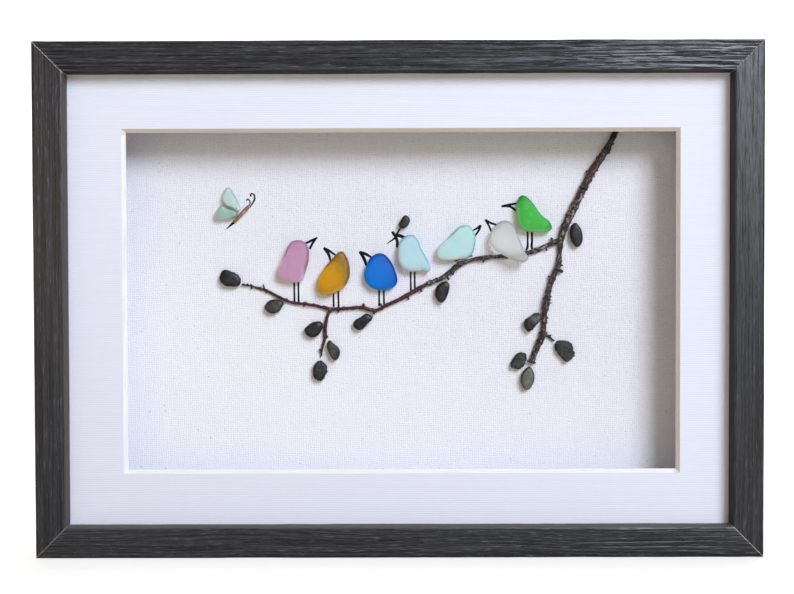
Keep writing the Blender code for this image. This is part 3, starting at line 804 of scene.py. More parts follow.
@dataclass
class Frame:
    """Four mitred rails with a lip, a rebate and open grain."""

    low: Vector
    high: Vector
    face: float = 15 * MM
    lip_cover: float = 5 * MM
    lip_depth: float = 7 * MM
    front_ease: float = 1.2 * MM
    back_ease: float = 0.6 * MM
    mitre_play: float = 0.04 * MM
    cell_along: float = 2.0 * MM
    cell_front: float = 0.28 * MM
    cell_side: float = 0.42 * MM
    cell_hidden: float = 1.2 * MM
    groove_depth: float = 0.30 * MM

    def build(self) -> None:
        """Build and dress the four rails."""
        width, depth, height = self.high - self.low
        finish = CharcoalWood().material(width / 2 / MM, height / MM)
        for seed, side in enumerate(Side):
            upright = side in (Side.RIGHT, Side.LEFT)
            length, reach = (height, width / 2) if upright else (width, height / 2)
            self.rail(side, seed, length, reach, depth, finish)

    def rail(self, side: Side, seed: int, length: float, reach: float, depth: float,
             finish: bpy.types.Material) -> None:
        """Build one rail.

        Args:
            side: the side that it is on.
            seed: tells its grain from the other rails'.
            length: its length outside.
            reach: from the frame's middle to its outer edge.
            depth: the frame's depth.
            finish: its material.
        """
        bm = bmesh.new()
        section = self.section(bm, -length / 2 - self.cell_along, reach, depth)
        count = round(length / self.cell_along) + 2
        self.sweep(bm, section, count)
        for end in (-length / 2, length / 2):
            self.mitre(bm, end, reach)
        bmesh.ops.recalc_face_normals(bm, faces=bm.faces[:])
        own = [(v.co.x / MM, v.co.y / MM, v.co.z / MM + 40 * seed) for v in bm.verts]
        lip = [self.lip_share((reach - v.co.z) / MM, v.co.y / MM) for v in bm.verts]
        ridge = self.carve_grain(bm, side, seed)
        middle = Vector((0, self.low.y, (self.low.z + self.high.z) / 2))
        place = Matrix.Translation(middle) @ Matrix.Rotation(side.turn, 4, "Y")
        bm.transform(place)
        name = f"rail_{side.word}"
        rail = finished(f"{name}_wood", bm, finish, [name], sharp=40)
        write_vectors(rail, "grain", own)
        write_values(rail, "ridge", ridge)
        write_values(rail, "lip", lip)
        # wear: the lip's lighter brown on the sides that face the lamp, partly rubbed wood and partly
        # painted light.
        write_values(rail, "wear", [share * side.rub for share in lip])

    def lip_share(self, inward: float, depth: float) -> float:
        """Return 1 on the lip's inner face and its front edge, and 0 elsewhere, in millimetres."""
        edge = self.face / MM - 0.7
        return min(1.0, max(0.0, (inward - edge) / 0.4)) * (depth < self.lip_depth / MM + 0.1)

    def section(self, bm: bmesh.types.BMesh, x: float, reach: float,
                depth: float) -> list[bmesh.types.BMEdge]:
        """Draw the rail's section at x as a closed loop of short edges."""
        wall = self.face - self.lip_cover
        corners = ((0, 0), (self.face, 0), (self.face, self.lip_depth), (wall, self.lip_depth),
                   (wall, depth), (0, depth))
        verts = [bm.verts.new((x, back, reach - inward)) for inward, back in corners]
        bm.faces.new(verts)
        for corner, ease, segments in ((verts[:2], self.front_ease, 4), (verts[4:], self.back_ease, 2)):
            bmesh.ops.bevel(bm, geom=corner, offset=ease, segments=segments, profile=0.5,
                            affect="VERTICES", material=-1)
        bmesh.ops.delete(bm, geom=bm.faces[:], context="FACES_ONLY")
        for edge in bm.edges[:]:
            inward = reach - (edge.verts[0].co.z + edge.verts[1].co.z) / 2
            back = (edge.verts[0].co.y + edge.verts[1].co.y) / 2
            cell = self.cell_side if inward < MM or back < self.lip_depth - 0.1 * MM else self.cell_hidden
            if back < MM:
                cell = self.cell_front
            cuts = int(edge.calc_length() / cell)
            if cuts:
                bmesh.ops.subdivide_edges(bm, edges=[edge], cuts=cuts)
        return bm.edges[:]

    def sweep(self, bm: bmesh.types.BMesh, edges: list[bmesh.types.BMEdge], count: int) -> None:
        """Extrude the section along the rail in short steps."""
        for _ in range(count):
            made = bmesh.ops.extrude_edge_only(bm, edges=edges)["geom"]
            verts = {item for item in made if isinstance(item, bmesh.types.BMVert)}
            bmesh.ops.translate(bm, vec=(self.cell_along, 0, 0), verts=list(verts))
            lines = (item for item in made if isinstance(item, bmesh.types.BMEdge))
            edges = [line for line in lines if verts.issuperset(line.verts)]

    def mitre(self, bm: bmesh.types.BMesh, end: float, reach: float) -> None:
        """Cut one end at 45 degrees and close it."""
        side = 1 if end > 0 else -1
        geom = bm.verts[:] + bm.edges[:] + bm.faces[:]
        bmesh.ops.bisect_plane(bm, geom=geom, dist=0.001 * MM, clear_outer=True,
                               plane_co=(end - side * self.mitre_play, 0, reach), plane_no=(side, 0, -1))
        near = [edge for edge in bm.edges if edge.is_boundary and edge.verts[0].co.x * side > 0]
        bmesh.ops.holes_fill(bm, edges=near, sides=0)

    def carve_grain(self, bm: bmesh.types.BMesh, side: Side, seed: int) -> list[float]:
        """Sink the soft stripes of the wood and return how high each vertex stays, 0 to 1."""
        bm.normal_update()
        ridge = []
        for vert in bm.verts:
            out = Vector((0, vert.normal.y, vert.normal.z))
            sunk = self.groove(vert.co / MM, side, seed) if out.length > 0.3 else 0.0
            ridge.append(1 - sunk)
            if sunk:
                vert.co -= out.normalized() * self.groove_depth * side.relief * sunk
        return ridge

    def groove(self, place: Vector, side: Side, seed: int) -> float:
        """Return how deep the grain is at a place in millimetres, from 0 to 1."""
        along, depth, up = place
        bend = side.wander * noise.noise(Vector((along / 85, up / 30, seed * 3.1)))
        wide = noise.noise(Vector((along / 80, depth / 0.62, (up + bend) / 0.62 + seed * 9)))
        fine = noise.noise(Vector((along / 20, depth / 0.42, (up + bend) / 0.42 - seed * 7)))
        return min(1.0, max(0.0, 0.42 + 1.25 * wide + 0.55 * fine))


@dataclass
class Mat:
    """The ribbed board with its bevelled window."""

    window_w: float = 270.5 * MM
    window_h: float = 167.5 * MM
    window_middle: tuple[float, float] = (1.25 * MM, 123.25 * MM)
    rib_pitch: float = 1.07 * MM
    rib_height: float = 0.07 * MM
    rib_steps: int = 6

    def build(self) -> None:
        """Build and dress the mat."""
        low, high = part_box("mat")
        thickness = high.y - low.y
        bm = self.ribbed_block(low, high)
        plug = self.window_plug(low.y, thickness)

        def cut_window(obj: bpy.types.Object) -> None:
            """Cut the plug out of the board."""
            boolean = obj.modifiers.new("window", "BOOLEAN")
            boolean.solver = "EXACT"
            boolean.object = plug

        bm = settled(bm, cut_window)
        bpy.data.objects.remove(plug, do_unlink=True)
        middle = (self.window_middle[0] / MM, self.window_middle[1] / MM)
        finish = RibbedBoard().material(middle, (self.window_w / 2 / MM, self.window_h / 2 / MM))
        finished("mat_ribbed", bm, finish, ["mat"], sharp=30)

    def ribbed_block(self, low: Vector, high: Vector) -> bmesh.types.BMesh:
        """Return the whole board, its front face drawn rib by rib and extruded across."""
        bm = bmesh.new()
        count = round((high.z - low.z) / self.rib_pitch) * self.rib_steps
        points = []
        for index in range(count + 1):
            up = low.z + (high.z - low.z) * index / count
            dip = 0.5 - 0.5 * cos(2 * pi * index / self.rib_steps)
            points.append((low.x, low.y + self.rib_height * dip, up))
        points += [(low.x, high.y, high.z), (low.x, high.y, low.z)]
        face = bm.faces.new([bm.verts.new(point) for point in points])
        made = bmesh.ops.extrude_face_region(bm, geom=[face])["geom"]
        verts = [item for item in made if isinstance(item, bmesh.types.BMVert)]
        bmesh.ops.translate(bm, vec=(high.x - low.x, 0, 0), verts=verts)
        bmesh.ops.recalc_face_normals(bm, faces=bm.faces[:])
        return bm

    def window_plug(self, front: float, thickness: float) -> bpy.types.Object:
        """Return a plug with 45-degree sides that opens towards the front."""
        over = 1 * MM
        bm = bmesh.new()
        bmesh.ops.create_cube(bm, size=2.0)
        for vert in bm.verts:
            depth = -over if vert.co.y < 0 else thickness + over
            vert.co.x = self.window_middle[0] + vert.co.x * (self.window_w / 2 - depth)
            vert.co.z = self.window_middle[1] + vert.co.z * (self.window_h / 2 - depth)
            vert.co.y = front + depth
        mesh = bpy.data.meshes.new("plug")
        bm.to_mesh(mesh)
        bm.free()
        plug = bpy.data.objects.new("plug", mesh)
        bpy.context.scene.collection.objects.link(plug)
        return plug


@dataclass
class Box:
    """The flat pieces that keep the CAD's shape: spacers, canvas, back board and steel."""

    def build(self) -> None:
        """Dress each piece."""
        sides = [side.word for side in Side]
        card = PlainBoard().material()
        for word in sides:
            dress_node(f"spacer_{word}", card)
        dress_node("canvas_panel", CanvasCloth().material())
        dress_node("back_board", Hardboard().material())
        steel = ZincSteel().material()
        points = [f"point_{word}_{index}" for word in sides for index in (1, 2)]
        for node in points + ["hanger", "rivet_1", "rivet_2"]:
            dress_node(node, steel)


# The picture

@dataclass(frozen=True)
class Layout:
    """The canvas plane: where the picture's steps lie."""

    middle_z: float
    canvas_y: float
    step: float = MM

    def place(self, across: float, up: float, lift: float = 0.0) -> Vector:
        """Return the world place of a layout point, lifted off the canvas."""
        return Vector((across * self.step, self.canvas_y - lift, self.middle_z + up * self.step))


class Tone(Enum):
    """A patch of bark: which share of the tone attribute it raises."""

    RED = 0
    PALE = 1
    BLACK = 2


@dataclass
class Twig:
    """The forked twig: furrowed bark, node rings, buds and knobs."""

    layout: Layout
    cell: float = 0.24 * MM
    clear: float = 0.06 * MM
    trunk: tuple = (
        (110, 85.8), (104.9, 75.2), (97.7, 64.5), (92.5, 54.2), (87.4, 43.9), (83.7, 36.3),
        (81.6, 29), (81.2, 22), (80.3, 16.4), (77.3, 9.6), (75, 1.6), (74.2, -3), (73.6, -8),
        (73, -15.5), (72, -19.6), (69.6, -25.1), (66.8, -32.7),
    )
    branch: tuple = (
        (82.2, 29.4), (78.2, 28.3), (72, 25.3), (65, 23), (57.3, 21.5), (49, 21.1), (42.7, 20.5),
        (34.4, 18.8), (30.4, 16.9), (26.5, 14), (21.1, 10.1), (14, 7.4), (4.7, 1.9), (-6.6, -3.3),
        (-12, -5.9), (-18.2, -4.2), (-25.7, -4.7), (-34.3, -5), (-42.3, -3.1), (-51.9, -2),
        (-56.8, -0.8), (-64.8, 3.4), (-74.8, 6.8), (-78.2, 7.3),
    )
    droop: tuple = (
        (-33.6, -4.9), (-35.6, -7.4), (-36.8, -11.5), (-37.1, -16), (-37.2, -19.5), (-38.4, -23.3),
        (-39.4, -29.2),
    )
    spur: tuple = ((72, -17), (75.2, -18.9), (78.2, -21.4))
    # Raised rings at the nodes: across, up, height in millimetres
    rings: tuple = (
        (104.4, 73.3, 0.30), (93, 55.2, 0.34), (81, 14.1, 0.28), (74.7, -0.5, 0.40),
        (30.4, 17.2, 0.22), (86.4, 42, 0.26), (88.4, 46, 0.22), (72.4, -17.6, 0.25),
        (-30.8, -5.0, 0.16), (-66.8, 4.2, 0.15), (-74.2, 6.5, 0.25), (50.5, 21.1, 0.2),
        (14.8, 7.7, 0.2), (-37.2, -19.2, 0.14), (69, 24.2, 0.2), (78.8, 19.2, 0.2),
    )
    # Buds and knobs: across, up, lean across, lean up, size in millimetres
    buds: tuple = (
        (107.9, 77.6, 0.9, 0.2, 0.9), (105.7, 73.2, 0.8, -0.2, 0.7), (94.9, 63.6, -0.9, 0.5, 1.0),
        (99.9, 64.2, 0.8, 0.2, 0.8), (98.2, 61.3, 0.8, -0.3, 0.8), (90.2, 52.6, -0.7, 0.2, 0.8),
        (95.1, 57.0, 0.6, 0.2, 0.7), (89.4, 44.8, 0.8, 0.1, 0.7), (84.6, 42.0, -0.8, 0.2, 0.8),
        (82.0, 16.7, 0.8, -0.1, 0.8), (82.0, 13.9, 0.8, 0.0, 0.8), (75.8, 10.9, -0.8, 0.4, 0.8),
        (76.4, 0.9, 0.8, -0.1, 0.8), (76.6, -2.2, 0.6, -0.3, 0.7), (77.1, 30.0, -0.4, 0.9, 0.9),
        (83.1, 30.6, 0.8, 0.3, 0.9), (74.6, 24.6, 0.1, -0.9, 0.8), (42.7, 19.2, 0.2, -0.9, 0.8),
        (27.4, 12.6, 0.3, -0.8, 0.8), (24.9, 10.2, 0.3, -0.8, 0.9), (15.4, 9.2, -0.2, 0.9, 0.7),
        (11.2, 4.2, 0.3, -0.9, 0.8), (4.8, 0.4, 0.3, -0.9, 0.7), (-9.0, -2.9, -0.3, 0.9, 0.7),
        (-17.9, -3.0, -0.3, 0.8, 0.9), (-12.4, -7.0, -0.1, -0.9, 0.8), (-30.4, -6.0, 0.1, -0.9, 0.7),
        (-47.8, -3.4, 0.2, -0.8, 0.6), (-74.0, 5.7, 0.0, -0.9, 0.6), (-74.6, 7.6, -0.2, 0.7, 0.5),
        (-40.0, -25.6, -0.8, 0.2, 0.6), (74.6, -17.2, 0.4, 0.7, 0.7), (76.4, -18.6, 0.6, 0.5, 0.6),
        (71.1, -17.5, -0.8, 0.3, 0.8), (74.8, -9.9, 0.8, 0.0, 0.7), (68.4, -32.4, 0.7, -0.3, 0.8),
        (65.2, -31.6, -0.7, -0.1, 0.7), (-78.4, 7.4, -1.0, 0.1, 0.9), (-76.4, 7.3, 0.9, 0.2, 0.7),
        (78.0, -21.2, 0.7, -0.6, 0.6), (76.6, 3.6, 0.8, 0.1, 0.6), (71.9, -10.4, -0.8, 0.2, 0.6),
        (100.8, 69.6, -0.7, 0.5, 0.7), (96.4, 60.4, -0.8, 0.1, 0.7), (86.9, 45.6, -0.8, 0.2, 0.7),
    )
    # Patches of colour: across, up, reach in millimetres, tone, strength
    patches: tuple = (
        (98.8, 64.2, 6.0, Tone.RED, 0.8), (91.5, 52.5, 5.0, Tone.RED, 0.6),
        (97.5, 61.0, 3.0, Tone.PALE, 0.5), (91.0, 50.0, 3.5, Tone.PALE, 0.5),
        (93.0, 55.0, 0.9, Tone.BLACK, 0.95), (104.4, 73.3, 0.8, Tone.BLACK, 0.7),
        (92.2, 53.6, 0.8, Tone.PALE, 0.8), (86.5, 42.0, 5.0, Tone.PALE, 0.55),
        (83.0, 31.5, 2.0, Tone.PALE, 0.9), (79.8, 29.6, 1.3, Tone.BLACK, 0.9),
        (72.0, 25.5, 5.0, Tone.PALE, 0.5), (64.0, 22.8, 2.5, Tone.RED, 0.5),
        (80.9, 14.2, 0.9, Tone.BLACK, 0.9), (74.7, -0.3, 1.0, Tone.BLACK, 0.95),
        (73.2, -12.5, 4.0, Tone.PALE, 0.45), (68.0, -29.0, 5.0, Tone.PALE, 0.7),
        (66.9, -32.4, 1.2, Tone.PALE, 0.9), (49.0, 21.2, 3.0, Tone.PALE, 0.35),
        (30.4, 16.8, 0.9, Tone.BLACK, 0.7), (26.1, 12.8, 1.0, Tone.PALE, 0.9),
        (24.9, 10.2, 0.9, Tone.BLACK, 0.8), (16.0, 8.0, 6.0, Tone.PALE, 0.30),
        (-13.0, -5.4, 1.1, Tone.PALE, 1.0), (-11.6, -4.0, 0.9, Tone.BLACK, 0.8),
        (-30.4, -6.0, 0.8, Tone.BLACK, 0.9), (-34.3, -4.6, 1.6, Tone.PALE, 0.5),
        (-37.2, -19.0, 1.2, Tone.PALE, 0.6), (-76.4, 7.2, 3.6, Tone.BLACK, 0.75),
        (-40.0, -25.6, 0.8, Tone.BLACK, 0.9), (-39.2, -28.4, 1.6, Tone.PALE, 0.45),
        (75.8, -19.0, 2.4, Tone.BLACK, 0.55), (107.8, 81.5, 5.0, Tone.BLACK, 0.45),
    )
    red_from: float = 18.0
    red_full: float = 8.0
    bud_scale: float = 1.3 * MM
    bud_lift: float = 1.5 * MM
    axis_lift: float = 1.4 * MM
    sample_step: float = 0.5 * MM
    limb_gap: float = 20 * MM
    knob_size: float = 1.5 * MM
    ring_reach: float = 3.5 * MM

    def build(self) -> None:
        """Build and dress the twig."""
        bm = copy_of("twig")
        for across, up, lean_x, lean_z, size in self.buds:
            self.add_bud(bm, across, up, Vector((lean_x, 0, lean_z)), size * self.bud_scale)
        bm = skinned(bm, self.cell, smoothing=2)
        tree, samples = self.centreline()
        back = self.layout.canvas_y - self.clear
        raise_by(bm, lambda place, out: self.relief(place, tree, samples), back)
        grain = [self.grain_at(vert.co, tree, samples) for vert in bm.verts]
        tones = [self.tone_at(vert.co) for vert in bm.verts]
        twig = finished("twig_bark", bm, Bark().material(), ["twig"], sharp=80)
        write_vectors(twig, "grain", grain)
        write_vectors(twig, "tone", tones)

    def add_bud(self, bm: bmesh.types.BMesh, across: float, up: float, lean: Vector,
                size: float) -> None:
        """Add one bud, long in the direction that it leans."""
        turn = lean.to_track_quat("Z", "Y").to_matrix().to_4x4()
        place = Matrix.Translation(self.layout.place(across, up, lift=self.bud_lift))
        shape = Matrix.Diagonal((size * 0.55, size * 0.55, size * 0.85, 1))
        bmesh.ops.create_icosphere(bm, subdivisions=2, radius=1.0, matrix=place @ turn @ shape)

    def centreline(self) -> tuple[KDTree, list[tuple[Vector, Vector, float]]]:
        """Sample the limbs' middles.

        Returns:
            A tree of the samples and, for each, its place, direction and distance along.
        """
        samples = []
        start = 0.0
        for limb in (self.trunk, self.branch, self.droop, self.spur):
            points = [self.layout.place(across, up, lift=self.axis_lift) for across, up in limb]
            for here, there in zip(points, points[1:]):
                run = there - here
                count = max(1, round(run.length / self.sample_step))
                for index in range(count):
                    at = here.lerp(there, index / count)
                    samples.append((at, run.normalized(), start + run.length * index / count))
                start += run.length
            start += self.limb_gap
        tree = KDTree(len(samples))
        for index, (at, direction, along) in enumerate(samples):
            tree.insert(at, index)
        tree.balance()
        return tree, samples

    def grain_at(self, place: Vector, tree: KDTree,
                 samples: list[tuple[Vector, Vector, float]]) -> tuple[float, float, float]:
        """Return (along, sideways, outwards) of a place on the bark, in millimetres."""
        at, direction, along = samples[tree.find(place)[1]]
        offset = place - at
        sideways = Vector((-direction.z, 0, direction.x))
        return (
            (along + offset.dot(direction)) / MM,
            offset.dot(sideways) / MM,
            offset.y / MM,
        )

    def relief(self, place: Vector, tree: KDTree,
               samples: list[tuple[Vector, Vector, float]]) -> float:
        """Return how far the bark stands out at a place."""
        own = Vector(self.grain_at(place, tree, samples))
        furrows = noise.noise(Vector((own.x / 2.6, own.y / 0.55, own.z / 0.55)))
        lumps = noise.noise(Vector((own.x / 4.5, own.y / 1.6, own.z / 1.6)))
        knobs = max(0.0, noise.noise(place / self.knob_size) - 0.12)
        height = 0.17 * furrows + 0.24 * lumps + 0.8 * knobs
        for across, up, tall in self.rings:
            near = place - self.layout.place(across, up, lift=self.axis_lift)
            if near.length > self.ring_reach:
                continue
            direction = samples[tree.find(place)[1]][1]
            reach = near.dot(direction) / MM
            height += 1.5 * tall * exp(-(reach / 0.45) ** 2)
            height -= 0.6 * tall * exp(-((reach - 1.0) / 0.5) ** 2)
        return height * MM

    def tone_at(self, place: Vector) -> tuple[float, float, float]:
        """Return the red, pale and black shares of the bark at a place."""
        across = place.x / self.layout.step
        up = (place.z - self.layout.middle_z) / self.layout.step
        share = (self.red_from - across) / (self.red_from - self.red_full)
        tone = [min(1.0, max(0.0, share)), 0.0, 0.0]
        for at_x, at_z, reach, kind, strength in self.patches:
            distance = ((across - at_x) ** 2 + (up - at_z) ** 2) / reach ** 2
            if distance < 6:
                tone[kind.value] = max(tone[kind.value], strength * exp(-distance))
        return tone[0], tone[1], tone[2]


@dataclass
class WornPiece:
    """One piece of beach glass or stone that replaces its CAD solid."""

    node: str
    layout: Layout
    cell: float = 0.30 * MM
    smoothing: int = 6
    swell: float = 0.16
    swell_size: float = 6.0
    chips: float = 0.03
    chip_size: float = 1.4
    seed: float = 1.0

    def build(self, finish: bpy.types.Material, slot: str) -> bpy.types.Object:
        """Build and dress the piece.

        Args:
            finish: its material.
            slot: not used.

        Returns:
            The piece, with a rim attribute that is 1 where it faces sideways.
        """
        bm = skinned(copy_of(self.node), self.cell, self.smoothing)
        back = max(vert.co.y for vert in bm.verts)
        raise_by(bm, self.relief, min(back, self.layout.canvas_y - 0.1 * MM))
        bm.normal_update()
        rim = [1 - max(0.0, -vert.normal.y) for vert in bm.verts]
        piece = finished(f"{self.node}_worn", bm, finish, [self.node], sharp=80)
        write_values(piece, "rim", rim)
        return piece

    def relief(self, place: Vector, out: Vector) -> float:
        """Return how far the surface stands out at a place."""
        where = place / MM
        swell = rough_noise(where, self.swell_size, self.seed)
        chips = min(0.0, rough_noise(where, self.chip_size, self.seed + 5)) * 2
        sideways = 0.2 + 0.8 * (1 - abs(out.y))
        return (self.swell * swell + self.chips * sideways * chips) * MM


@dataclass
class Flock:
    """The seven glass birds and the butterfly's two glass wings."""

    layout: Layout

    def finishes(self) -> dict[str, SeaGlass]:
        """Return each piece's glass by node name."""
        # Each glass: its tint, the deep tint painted away from its glow as shade, the edge colour painted
        # on its upper-right rims as shade, the pale colour of its frost and of the light painted on its
        # lower-left rims, and the painted glow's place and size.
        return {
            "bird_pink": SeaGlass(
                "glass_pink", (0.72, 0.40, 0.60), (0.64, 0.34, 0.53), (0.36, 0.17, 0.28),
                (0.88, 0.72, 0.82), (-1, -2, 13)),
            "bird_amber": SeaGlass(
                "glass_amber", (0.80, 0.41, 0.0), (0.42, 0.21, 0.012), (0.20, 0.13, 0.06),
                (0.88, 0.62, 0.12), (-2, -2, 9)),
            "bird_blue": SeaGlass(
                "glass_blue", (0.0, 0.24, 0.84), (0.0, 0.11, 0.60), (0.0, 0.04, 0.28),
                (0.0, 0.36, 0.90), (-3, -1.5, 11), haze=0.1),
            "bird_pale_blue": SeaGlass(
                "glass_pale_blue", (0.62, 0.90, 1.0), (0.52, 0.80, 0.92), (0.28, 0.48, 0.60),
                (0.92, 0.98, 1.0), (-1, 1, 12)),
            "bird_aqua": SeaGlass(
                "glass_aqua", (0.62, 0.96, 0.94), (0.54, 0.88, 0.86), (0.32, 0.58, 0.56),
                (0.94, 1.0, 0.99), (0, 0, 13)),
            "bird_white": SeaGlass(
                "glass_white", (1.0, 1.0, 0.96), (0.86, 0.88, 0.82), (0.62, 0.63, 0.58),
                (1.0, 1.0, 0.99), (-3, 2, 12), clear=0.72, haze=0.1),
            "bird_green": SeaGlass(
                "glass_green", (0.07, 0.62, 0.08), (0.04, 0.46, 0.05), (0.015, 0.24, 0.02),
                (0.36, 0.82, 0.34), (1, -1, 11)),
            "wing_upper": SeaGlass(
                "glass_wing_upper", (0.66, 0.86, 0.80), (0.50, 0.72, 0.64), (0.34, 0.52, 0.45),
                (0.96, 1.0, 0.98), (0, 0, 6), reach=5, haze=0.75),
            "wing_lower": SeaGlass(
                "glass_wing_lower", (0.42, 0.64, 0.53), (0.28, 0.50, 0.40), (0.18, 0.34, 0.27),
                (0.84, 0.96, 0.90), (1, 0, 6), reach=5, haze=0.65),
        }

    def build(self) -> None:
        """Build and dress each piece of glass."""
        for seed, (node, glass) in enumerate(self.finishes().items(), 1):
            low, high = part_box(node)
            piece = WornPiece(node, self.layout, seed=seed * 3.3)
            piece.build(glass.material((low + high) / 2), glass.name)


@dataclass
class Leaves:
    """The pebble and slate leaves."""

    layout: Layout

    def build(self) -> None:
        """Build and dress each leaf."""
        dark = Stone("dark_pebble").material()
        mottled = Stone("mottled_pebble", dark=(0.015, 0.016, 0.013), light=(0.072, 0.072, 0.056),
                        specks=0.5).material()
        # bloom: painted light on this pebble's upper right; the rest is darkened
        pitted = Stone("pitted_pebble", dark=(0.010, 0.010, 0.010), light=(0.16, 0.14, 0.14),
                       specks=0.3, pit_depth=0.14 * MM, bloom=(69.6, 115.2, 4.2)).material()
        layered = Stone("layered_pebble", dark=(0.007, 0.007, 0.007), light=(0.032, 0.033, 0.033),
                        pit_depth=0.10 * MM, layers=0.6).material()
        # rim_shade 0.9: strong painted shade on this pebble's rim
        olive = Stone("olive_pebble", dark=(0.10, 0.11, 0.082), light=(0.17, 0.175, 0.14),
                      speck=(0.30, 0.30, 0.24), specks=0.2, rim_shade=0.9).material()
        moss = Stone("dark_olive_pebble", dark=(0.010, 0.011, 0.007), light=(0.045, 0.045, 0.028),
                     speck=(0.2, 0.19, 0.12), specks=0.6).material()
        slate = Stone("slate", dark=(0.009, 0.010, 0.009), light=(0.060, 0.062, 0.058),
                      speck=(0.26, 0.26, 0.22), specks=0.6, roughness=0.5,
                      pit_depth=0.22 * MM, layers=0.5).material()
        looks = {2: mottled, 4: mottled, 5: layered, 9: pitted}
        for index in range(1, 10):
            self.pebble(f"pebble_{index}", looks.get(index, dark), "dark_pebble", index)
        self.pebble("pebble_12", olive, "olive_pebble", 12)
        self.pebble("pebble_sprig", moss, "olive_pebble", 13)
        for index in (10, 11):
            rough = WornPiece(f"slate_{index}", self.layout, cell=0.22 * MM, smoothing=2,
                              swell=0.30, swell_size=2.6, chips=1.6, chip_size=1.6, seed=index)
            rough.build(slate, "slate")

    def pebble(self, node: str, finish: bpy.types.Material, slot: str, seed: int) -> None:
        """Build and dress one pebble."""
        notched = node in ("pebble_5", "pebble_9")
        piece = WornPiece(node, self.layout, cell=0.22 * MM, smoothing=6,
                          swell=0.30, swell_size=4.0, chips=0.8 if notched else 0.06,
                          chip_size=1.3, seed=seed * 2.7)
        piece.build(finish, slot)


@dataclass
class Butterfly:
    """The butterfly's stick body, which lies beside its glass wings."""

    layout: Layout
    cell: float = 0.2 * MM
    head: tuple[float, float] = (-75.4, 46.9)
    tail: tuple[float, float] = (-82.9, 38.6)
    axis_lift: float = 1 * MM
    furrow_depth: float = 0.10 * MM

    def build(self) -> None:
        """Build and dress the body."""
        bm = skinned(copy_of("butterfly_body"), self.cell, smoothing=3)
        raise_by(bm, self.relief, self.layout.canvas_y - 0.05 * MM)
        grain = [tuple(self.own(vert.co)) for vert in bm.verts]
        tones = [(0.9, 0.65, 0.85 * max(0.0, -own[1] - 0.2)) for own in grain]
        brown = Bark("warm_bark", brown=(0.30, 0.16, 0.11), dusk=(0.14, 0.07, 0.05),
                     red=(0.32, 0.13, 0.07), pale=(0.46, 0.31, 0.24))
        body = finished("butterfly_body_bark", bm, brown.material(), ["butterfly_body"],
                        sharp=80)
        write_vectors(body, "grain", grain)
        write_vectors(body, "tone", tones)

    def own(self, place: Vector) -> Vector:
        """Return (along, sideways, outwards) of a place on the body, in millimetres."""
        head = self.layout.place(*self.head, lift=self.axis_lift)
        tail = self.layout.place(*self.tail, lift=self.axis_lift)
        direction = (tail - head).normalized()
        offset = (place - head) / MM
        sideways = Vector((-direction.z, 0, direction.x))
        return Vector((offset.dot(direction), offset.dot(sideways), offset.y))

    def relief(self, place: Vector, out: Vector) -> float:
        """Return how far the bark stands out at a place."""
        along, side, lift = self.own(place)
        return self.furrow_depth * noise.noise(Vector((along / 2.5, side / 0.5, lift / 0.5)))


@dataclass(frozen=True)
class Stroke:
    """One brush stroke: its points in steps, and its width in millimetres at each point."""

    points: tuple[tuple[float, float], ...]
    widths: tuple[float, ...]


